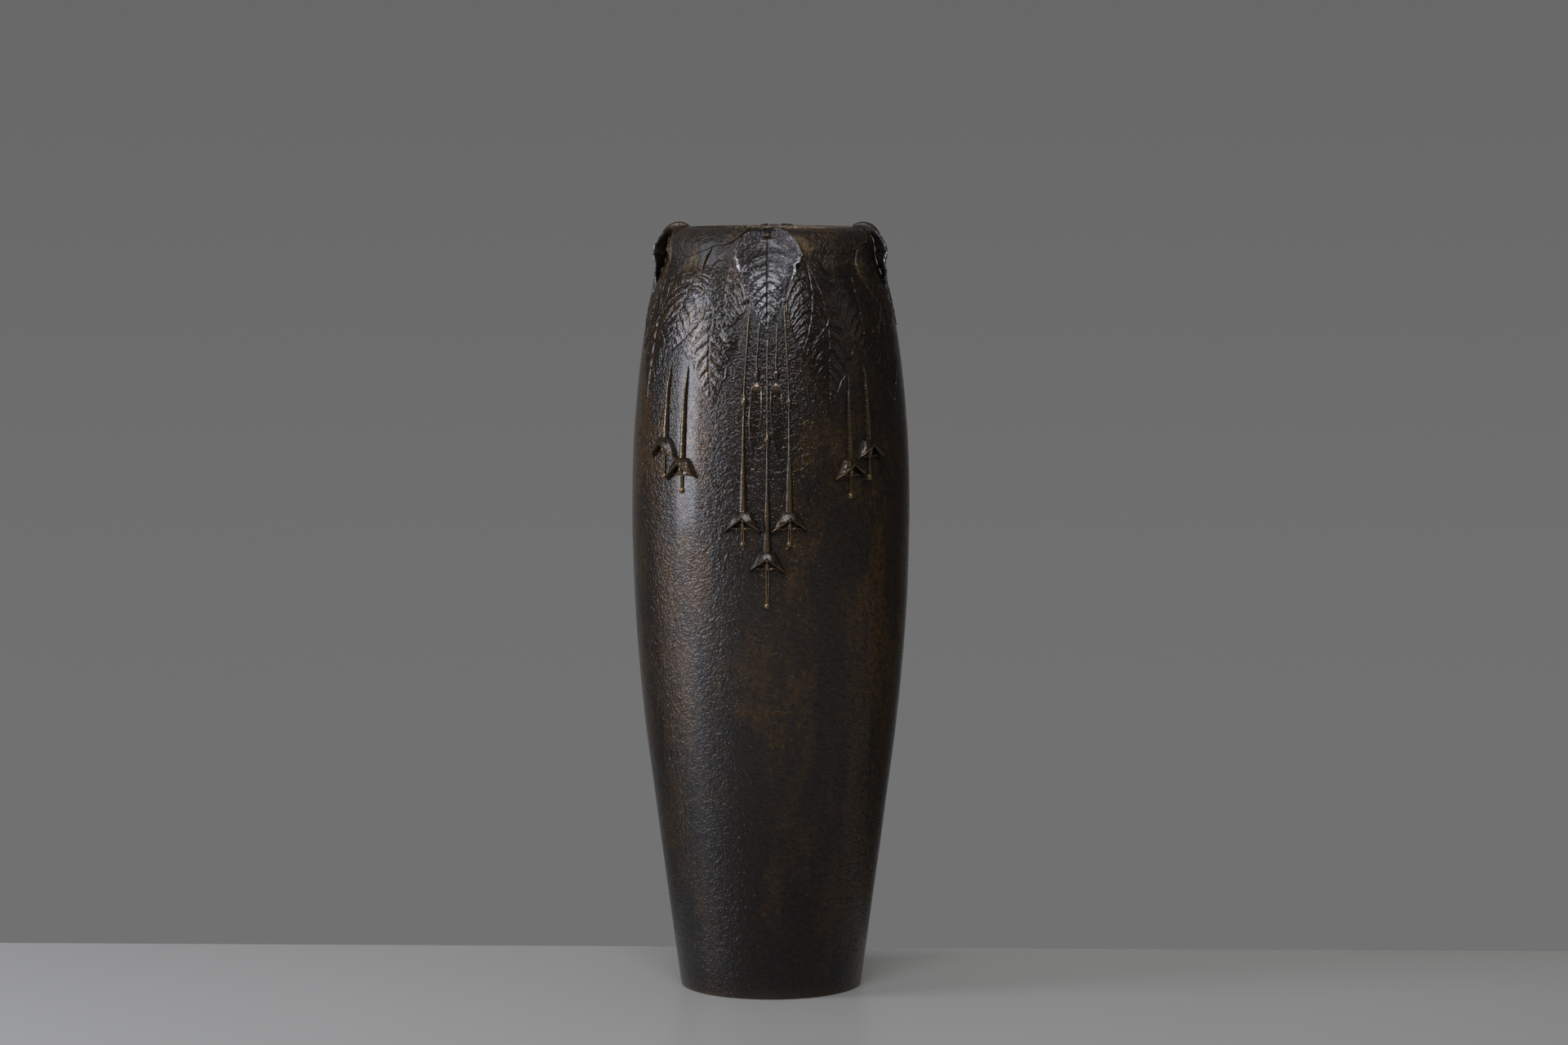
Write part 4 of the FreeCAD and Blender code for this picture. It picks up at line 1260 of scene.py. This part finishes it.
class NodeBench:
    """The nodes of one material, added by type, socket values and settings."""

    def __init__(self, owner: bpy.types.ID) -> None:
        """Empties the node tree of a material or of the world.

        Args:
            owner: the material or the world.
        """
        owner.use_nodes = True
        self.tree = owner.node_tree
        self.tree.nodes.clear()

    def node(self, kind: str, sockets: Optional[dict] = None, output: str = "",
             **settings: str) -> Shade:
        """Adds any node.

        Args:
            kind: the node's type.
            sockets: values or links of its inputs, by identifier.
            output: identifier of the output wanted, or none for the first one shown.
            settings: its settings, set first.

        Returns:
            The wanted output.
        """
        node = self.tree.nodes.new(kind)
        for name, value in settings.items():
            setattr(node, name, value)
        for name, value in (sockets or {}).items():
            socket = next(one for one in node.inputs if one.identifier == name)
            if isinstance(value, Shade):
                self.tree.links.new(value.socket, socket)
            else:
                socket.default_value = value
        shown = [one for one in node.outputs if one.enabled and output in ("", one.identifier)]
        return Shade(self, shown[0] if shown else None)

    def noise(self, place: Shade, size: float, detail: float = 3.0, roughness: float = 0.5,
              distortion: float = 0.0) -> Shade:
        """Noise from 0 to 1 whose lumps are about a size, in metres.

        Args:
            place: where it is read.
            size: the lumps' size.
            detail: how many finer layers it has.
            roughness: how strong those are.
            distortion: how far it is drawn about.

        Returns:
            The noise.
        """
        return self.node("ShaderNodeTexNoise",
                         {"Vector": place, "Scale": 1 / size, "Detail": detail,
                          "Roughness": roughness, "Distortion": distortion},
                         "Fac", noise_dimensions="3D")

    def step(self, value: Shade, low: float, high: float) -> Shade:
        """A soft step from 0 at the low limit to 1 at the high one."""
        return self.node("ShaderNodeMapRange", {"Value": value, "From Min": low, "From Max": high},
                         interpolation_type="SMOOTHSTEP")

    def blend(self, share: object, first: object, second: object) -> Shade:
        """A colour a share of the way from one to another.

        Args:
            share: the share, from 0 to 1.
            first: the colour at 0.
            second: the colour at 1.

        Returns:
            The colour.
        """
        return self.node("ShaderNodeMix",
                         {"Factor_Float": share, "A_Color": first, "B_Color": second},
                         "Result_Color", data_type="RGBA")

    def place(self, squeeze: tuple = (1.0, 1.0, 1.0)) -> Shade:
        """The surface's own place on the vase, squeezed along each axis.

        Args:
            squeeze: how much closer the pattern gets along x, y and z.

        Returns:
            The place.
        """
        own = self.node("ShaderNodeTexCoord", output="Object")
        return self.node("ShaderNodeMapping", {"Vector": own, "Scale": squeeze},
                         vector_type="POINT")

    def axis(self, vector: Shade, name: str) -> Shade:
        """One axis of a vector."""
        return self.node("ShaderNodeSeparateXYZ", {"Vector": vector}, name)

    def attribute(self, name: str) -> Shade:
        """A value stored on the piece's own vertices."""
        return self.node("ShaderNodeAttribute", output="Fac", attribute_name=name)

    def surface(self, **sockets: object) -> None:
        """Sets a principled shader as the surface; names have _ in the place of spaces."""
        named = {name.replace("_", " "): value for name, value in sockets.items()}
        shader = self.node("ShaderNodeBsdfPrincipled", named)
        self.node("ShaderNodeOutputMaterial", {"Surface": shader})


@dataclass(frozen=True)
class Patina:
    """A dark bronze patina: chocolate over near-black, russet clouds, abraded ridges, painted
    highlights on crests and margins, and a painted shade towards the foot.
    """

    name: str
    ground: Colour = (0.0170, 0.0108, 0.0066, 1.0)
    dark: Colour = (0.0052, 0.0044, 0.0044, 1.0)
    russet: Colour = (0.0480, 0.0235, 0.0070, 1.0)
    ochre: Colour = (0.135, 0.082, 0.024, 1.0)
    # The colour of abraded bronze, which also paints the highlights on rod crests and leaf
    # margins.
    worn_and_highlit: Colour = (0.165, 0.118, 0.078, 1.0)
    within: Colour = (0.030, 0.034, 0.024, 1.0)
    russet_share: float = 1.0
    ochre_share: float = 1.0
    roughness: float = 0.22
    metallic: float = 0.35
    worn_metallic: float = 0.75
    specular: float = 0.6
    coat: float = 0.30
    coat_roughness: float = 0.15
    grain: float = 1.35 * MM
    band_grain: float = 0.0
    has_inside: bool = False

    # Heights in metres between which the painted shade at the foot fades out, it gets more grainy,
    # and it gets duller and gilded.
    FOOT_SHADE: ClassVar[tuple] = (0.04, 0.26)
    BAND: ClassVar[tuple] = (0.365, 0.400)
    RIM: ClassVar[tuple] = (0.405, 0.432)

    def make(self) -> bpy.types.Material:
        """Makes the material.

        Returns:
            The finished material.
        """
        material = bpy.data.materials.new(self.name)
        bench = NodeBench(material)
        place, streaked = bench.place(), bench.place((1.0, 1.0, 0.28))
        clouds = bench.noise(streaked, 0.036, 5.0, 0.62, 0.6)
        streaks = bench.noise(streaked, 0.013, 4.0, 0.6)
        mottle = bench.noise(place, 0.009, 5.0, 0.65)
        speck = bench.noise(place, 1.4 * MM, 3.0, 0.7)
        grit = bench.noise(place, 3.0 * MM, 4.0, 0.72)
        height = bench.axis(bench.node("ShaderNodeTexCoord", output="Object"), "Z")
        # low is painted shade: the colour darkens towards the foot, where the lower body gets less
        # light; there the coat also thins and the metal share grows.
        low, high = 1 - bench.step(height, *self.FOOT_SHADE), bench.step(height, *self.RIM)

        brown = bench.step(0.65 * clouds + 0.35 * streaks, 0.46, 0.62) * self.russet_share
        black = bench.step(0.6 * bench.noise(streaked, 0.027, 5.0, 0.6, 0.8) + 0.4 * mottle,
                           0.50, 0.66)
        fleck = (bench.step(bench.noise(place, 3.2 * MM, 3.0, 0.7), 0.54, 0.68)
                 * bench.step(clouds, 0.44, 0.60))
        gilt = (bench.step(0.5 * mottle + 0.5 * bench.noise(place, 0.030, 3.0), 0.50, 0.66)
                * high * bench.step(speck, 0.30, 0.62))
        # Abraded parts from the wear attribute: real wear, and on rod crests and leaf margins a
        # painted highlight.
        rubbed_and_highlit = bench.step(bench.attribute("wear_and_painted_highlight") + 0.30 * speck - 0.15, 0.30, 1.0)
        colour = self.ground
        for share, over in ((brown, self.russet), (black * 0.85, self.dark),
                            (bench.step(grit, 0.47, 0.60) * 0.70, self.dark),
                            (fleck * 0.30 * self.ochre_share, self.ochre),
                            (low * 0.35, self.dark), (gilt * self.ochre_share, self.ochre),
                            (rubbed_and_highlit * 0.75, self.worn_and_highlit)):
            colour = bench.blend(share, colour, over)
        roughness = (self.roughness + 0.20 * (mottle - 0.5) + 0.40 * (grit - 0.5)
                     + 0.22 * high - 0.06 * rubbed_and_highlit)
        if self.has_inside:
            inside = bench.step(bench.attribute("inside"), 0.5, 0.9)
            dull = bench.blend(bench.step(mottle, 0.35, 0.7), self.within, self.ground)
            colour = bench.blend(inside, colour, dull)
            roughness = roughness + 0.22 * inside
        peel = bench.noise(place, 1.3 * MM, 2.0)
        pits = bench.noise(place, 3.0 * MM, 3.0, 0.6)
        band = bench.step(height, *self.BAND) * self.band_grain
        normal = bench.node("ShaderNodeBump",
                            {"Height": 0.42 * peel + pits * (0.55 + band), "Strength": 1.0,
                             "Distance": self.grain})
        bench.surface(Base_Color=colour, Roughness=roughness, Normal=normal,
                      Metallic=(self.metallic + (self.worn_metallic - self.metallic) * rubbed_and_highlit
                                + 0.20 * low),
                      Coat_Weight=self.coat * (1 - 0.7 * high - 0.8 * low),
                      Coat_Roughness=self.coat_roughness, Specular_IOR_Level=self.specular)
        return material


@dataclass(frozen=True)
class TableTop:
    """The plain pale slab that the vase stands on: satin, with a faint reflection."""

    colour: Colour = (0.318, 0.313, 0.300, 1.0)
    cloud: Colour = (0.290, 0.285, 0.273, 1.0)
    cloud_size: float = 0.35
    roughness: float = 0.32
    specular: float = 0.35
    half_width: float = 1.6
    back: float = 0.108
    front: float = -1.9
    depth: float = 0.03

    def build(self) -> bpy.types.Object:
        """Makes the slab, which isn't part of the vase.

        Returns:
            The slab.
        """
        shape = bmesh.new()
        middle, length = (self.back + self.front) / 2, self.back - self.front
        place = Matrix.Translation((0.0, middle, -self.depth / 2)) @ Matrix.Diagonal(
            (2 * self.half_width, length, self.depth, 1.0))
        bmesh.ops.create_cube(shape, size=1.0, matrix=place)
        slab = new_object(shape, "table_top", self.material())
        return slab

    def material(self) -> bpy.types.Material:
        """A satin lacquer with the faintest clouding.

        Returns:
            The material.
        """
        material = bpy.data.materials.new("table_lacquer")
        bench = NodeBench(material)
        cloud = bench.noise(bench.place(), self.cloud_size, 2.0)
        bench.surface(Base_Color=bench.blend(cloud, self.colour, self.cloud),
                      Roughness=self.roughness, Specular_IOR_Level=self.specular)
        return material


@dataclass(frozen=True)
class SoftBox:
    """A rectangular lamp that faces a point on the vase's axis."""

    name: str
    azimuth: float
    distance: float
    height: float
    aim: float
    width: float
    tall: float
    radiance: float
    tint: tuple[float, float, float] = (1.0, 1.0, 1.0)

    def build(self) -> None:
        """Sets up the lamp."""
        lamp = bpy.data.lights.new(self.name, "AREA")
        lamp.shape = "RECTANGLE"
        lamp.size, lamp.size_y = self.width, self.tall
        lamp.energy = self.radiance * math.pi * self.width * self.tall
        lamp.color = self.tint
        holder = bpy.data.objects.new(self.name, lamp)
        bpy.context.scene.collection.objects.link(holder)
        holder.location = around(self.azimuth, self.distance, self.height)
        towards = Vector((0.0, 0.0, self.aim)) - holder.location
        holder.rotation_euler = towards.to_track_quat("-Z", "Y").to_euler()


@dataclass(frozen=True)
class Studio:
    """Backdrop, lamps and camera."""

    azimuth: float = 1.8
    distance: float = 2.468
    height: float = 0.4959
    pitch: float = 5.175
    yaw: float = 0.177
    lens: float = 97.31
    sensor: float = 36.0
    upper_grey: float = 0.137
    lower_grey: float = 0.165
    ambient: float = 0.40
    room: Colour = (0.026, 0.024, 0.022, 1.0)

    # Parts of a ray's direction between which the greys, and the backdrop that gloss sees, fade.
    horizon: tuple = (-0.16, 0.06)
    right_edge: tuple = (0.10, 0.45)
    left_edge: tuple = (0.25, 0.75)
    left_loss: float = 0.80
    back_edge: tuple = (-0.25, 0.30)

    lamps: tuple = (
        SoftBox("left_softbox", -71.0, 1.45, 0.62, 0.46, 0.50, 1.00, 12.6, (0.82, 0.87, 1.0)),
        SoftBox("top_softbox", -4.0, 1.25, 1.45, 0.40, 0.95, 0.75, 9.5, (0.94, 0.95, 1.0)),
        SoftBox("right_fill", 72.0, 1.6, 0.95, 0.38, 0.45, 0.70, 0.60),
    )

    def build(self) -> None:
        """Sets up the world, the lamps and the camera."""
        scene = bpy.context.scene
        scene.view_settings.view_transform = "Standard"
        self.set_world(scene)
        for lamp in self.lamps:
            lamp.build()
        camera = bpy.data.cameras.new("camera")
        camera.lens, camera.sensor_width = self.lens, self.sensor
        holder = bpy.data.objects.new("camera", camera)
        scene.collection.objects.link(holder)
        holder.location = around(self.azimuth, self.distance, self.height)
        holder.rotation_euler = (math.radians(90.0 - self.pitch), 0.0,
                                 math.radians(self.azimuth) - math.radians(self.yaw))
        scene.camera = holder

    def set_world(self, scene: bpy.types.Scene) -> None:
        """Soft grey for the eye and for gloss, and plain soft light for everything else.

        Args:
            scene: the scene that gets the world.
        """
        scene.world = bpy.data.worlds.new("studio")
        bench = NodeBench(scene.world)
        ray = bench.node("ShaderNodeTexCoord", output="Generated")
        aside, behind, rise = (bench.axis(ray, name) for name in "XYZ")
        upper, lower, soft = ((grey, grey, grey, 1.0)
                              for grey in (self.upper_grey, self.lower_grey, self.ambient))
        gloss, camera, through = (bench.node("ShaderNodeLightPath", output=f"Is {kind} Ray")
                                  for kind in ("Glossy", "Camera", "Transmission"))
        grey = bench.blend(bench.step(rise, *self.horizon), lower, upper)
        backdrop = (1 - bench.step(aside, *self.right_edge)
                    - self.left_loss * bench.step(aside * -1.0, *self.left_edge))
        backdrop = backdrop * bench.step(behind, *self.back_edge)
        grey = bench.blend(gloss - gloss * backdrop, grey, self.room)
        seen = bench.step(gloss + camera + through, 0.0, 1.0)
        light = bench.node("ShaderNodeBackground", {"Color": bench.blend(seen, soft, grey)})
        bench.node("ShaderNodeOutputWorld", {"Surface": light})


@dataclass
class Ornament:
    """Every leaf, twig, blossom and bud, set round the wall."""

    contour: Contour
    flank: tuple = (
        ("left", (-17.5, -20.0, -18.2, 0.9740, 0.8690), 17.0, ((1, 0.86, 0.12),)),
        ("right", (19.5, 21.0, 14.6, 0.9680, 0.8420), 16.5, ((-1, 0.60, 0.30), (1, 0.78, 0.18))),
    )
    low: tuple = (
        ("left", (-24.6, -26.4, -23.2, 0.9260, 0.7760), 18.5, ((1, 0.80, 0.16),),
         ((-32.3, 0.9749), (-35.8, 0.9601), (-36.6, 0.9456), (-34.7, 0.9297),
          (-29.0, 0.9120), (-25.9, 0.9000), (-24.6, 0.8824), (-24.9, 0.8636))),
        ("right", (28.6, 28.0, 26.6, 0.9220, 0.7750), 18.0, ((1, 0.55, 0.05), (1, 0.80, 0.12)),
         ((9.5, 0.9865), (13.4, 0.9775), (16.5, 0.9663), (20.8, 0.9551), (23.4, 0.9420),
          (25.6, 0.9250), (27.4, 0.9050), (28.2, 0.8850))),
    )
    corner_places: tuple = (
        ("leaning", (7.5, 0.4, -2.6, 0.9540, 0.8410)),
        ("upright", (1.8, 2.2, 3.8, 0.9540, 0.8340)),
    )
    twigs: tuple = (
        ("left", ((-5.6, 0.9998), (-12.0, 0.9985), (-15.7, 0.9928), (-21.0, 0.9827),
                  (-31.0, 0.9780), (-34.6, 0.9745), (-46.0, 0.9659), (-54.0, 0.9610))),
        ("right", ((4.6, 0.9998), (9.0, 0.9970), (15.9, 0.9859), (21.0, 0.9600),
                   (22.8, 0.9400), (23.4, 0.9250), (23.1, 0.9113))),
    )
    main_blossoms: tuple = (
        ("outer_left", (-8.0, -9.4, 0.9030, 0.7810, 0.6420, 0.5970)),
        ("centre", (0.3, 0.3, 0.8600, 0.7315, 0.5910, 0.5175)),
        ("outer_right", (8.0, 9.2, 0.9020, 0.7810, 0.6420, 0.5970)),
    )
    corner_blossoms: tuple = (
        ("leaning", (("outer", (-1.4, -1.8, 0.8300, 0.8000, 0.7330, 0.6786)),
                     ("inner", (8.6, 8.2, 0.8270, 0.7960, 0.7080, 0.6625)))),
        ("upright", (("outer", (0.8, 0.6, 0.8240, 0.7990, 0.7310, 0.6786)),
                     ("inner", (-8.4, -9.4, 0.8150, 0.7900, 0.7080, 0.6560)))),
    )
    buds: tuple = (
        ("left", (-3.4, -4.2, 0.8815, 0.8160, 0.7056), -1.0),
        ("right", (4.6, 4.0, 0.8815, 0.8160, 0.7056), 1.0),
    )

    def build(self, leaf: bpy.types.Material, polish_with_painted_sheen: bpy.types.Material,
              blossom: bpy.types.Material) -> None:
        """Builds every piece of ornament.

        Args:
            leaf: the finish of the leaves on the wall, stalks and twigs.
            polish_with_painted_sheen: the finish of the leaves that hang over the rim, a lighter
                bluish-grey copy of the patina whose colours carry a painted sheen.
            blossom: the finish of blossoms and buds.
        """
        seed = 1
        for side, turn in MAIN_SIDES.items():
            RimLeaf(self.contour, f"rim_leaf_{side}", turn, seed).build(polish_with_painted_sheen)
            Petiole(self.contour, f"petiole_{side}", turn,
                    kept_low=side in BLOSSOMING_SIDES).build(leaf)
            for part, route in self.twigs:
                Twig(self.contour, f"rim_twig_{side}_{part}", turn, route).build(leaf)
            for part, place, half, standing in self.flank:
                seed += 1
                LaidLeaf(self.contour, f"flank_leaf_{side}_{part}", turn, place, half * MM,
                         LeafKind.BROAD, 0.70, seed, standing=standing).build(leaf)
            for part, place, half, standing, stalk in self.low:
                seed += 1
                LaidLeaf(self.contour, f"low_leaf_{side}_{part}", turn, place, half * MM,
                         LeafKind.TUCKED, 0.30, seed, standing, stalk).build(leaf)
            if side in BLOSSOMING_SIDES:
                seed = self.build_spray(side, turn, seed, blossom, leaf)
        for corner, (turn, kind) in CORNERS.items():
            seed += 1
            place = dict(self.corner_places)[kind]
            LaidLeaf(self.contour, f"corner_leaf_{corner}", turn, place, 22.0 * MM,
                     LeafKind.BROAD, 0.48, seed, standing=((1, 0.60, 0.30),)).build(leaf)
            for part, hung in dict(self.corner_blossoms)[kind]:
                seed += 1
                Blossom(self.contour, f"blossom_{corner}_{part}", turn, hung, seed,
                        has_ovary=False).build(blossom)

    def build_spray(self, side: str, turn: float, seed: int, blossom: bpy.types.Material,
                    bud: bpy.types.Material) -> int:
        """The three blossoms and two buds in the middle of a side.

        Args:
            side: the side's name.
            turn: degrees round the vase.
            seed: the last seed used.
            blossom: the finish of the blossoms.
            bud: the finish of the buds, which lie almost flush with the wall.

        Returns:
            The last seed used.
        """
        for part, place in self.main_blossoms:
            seed += 1
            Blossom(self.contour, f"blossom_{side}_{part}", turn, place, seed).build(blossom)
        for part, place, lean in self.buds:
            seed += 1
            Bud(self.contour, f"bud_{side}_{part}", turn, place, lean, seed).build(bud)
        return seed


def dress_plate(material: bpy.types.Material) -> None:
    """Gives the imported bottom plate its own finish.

    Args:
        material: its finish.
    """
    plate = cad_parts["bottom_plate"]
    plate.data.materials.clear()
    plate.data.materials.append(material)


def main() -> None:
    """Builds the studio, the wall, the ornament and the plate."""
    logging.basicConfig(level=logging.INFO, format="%(name)s: %(message)s")
    contour = Contour.of_frame()
    Studio().build()
    TableTop().build()
    wall = Patina("wall_patina", band_grain=1.0, has_inside=True)
    leaf = Patina("leaf_patina", russet_share=0.8, ochre_share=0.8, roughness=0.19,
                  metallic=0.45, grain=0.95 * MM)
    # The rim leaves' patina is a lighter, bluish-grey copy of the wall's: its ground colour and
    # its colour for abraded parts are a painted bluish sheen, over a real lower roughness, more
    # metal and a thicker coat.
    polish_with_painted_sheen = Patina("rim_leaf_patina_with_painted_sheen", ground=(0.058, 0.052, 0.054, 1.0),
                      dark=(0.010, 0.009, 0.009, 1.0), worn_and_highlit=(0.46, 0.45, 0.47, 1.0),
                      russet_share=0.3, ochre_share=0.15, roughness=0.25, metallic=0.65,
                      worn_metallic=0.9, coat=0.90, grain=1.90 * MM)
    blossom = Patina("blossom_patina", ground=(0.024, 0.016, 0.010, 1.0),
                     worn_and_highlit=(0.21, 0.135, 0.062, 1.0), russet_share=0.8, ochre_share=0.6,
                     roughness=0.30, metallic=0.55, coat=0.20, grain=0.80 * MM)
    plate = Patina("plate_patina", ochre_share=0.0, roughness=0.55, coat=0.0)
    VaseWall(contour).build(wall.make())
    Ornament(contour).build(leaf.make(), polish_with_painted_sheen.make(), blossom.make())
    dress_plate(plate.make())


if __name__ == "__main__":
    main()
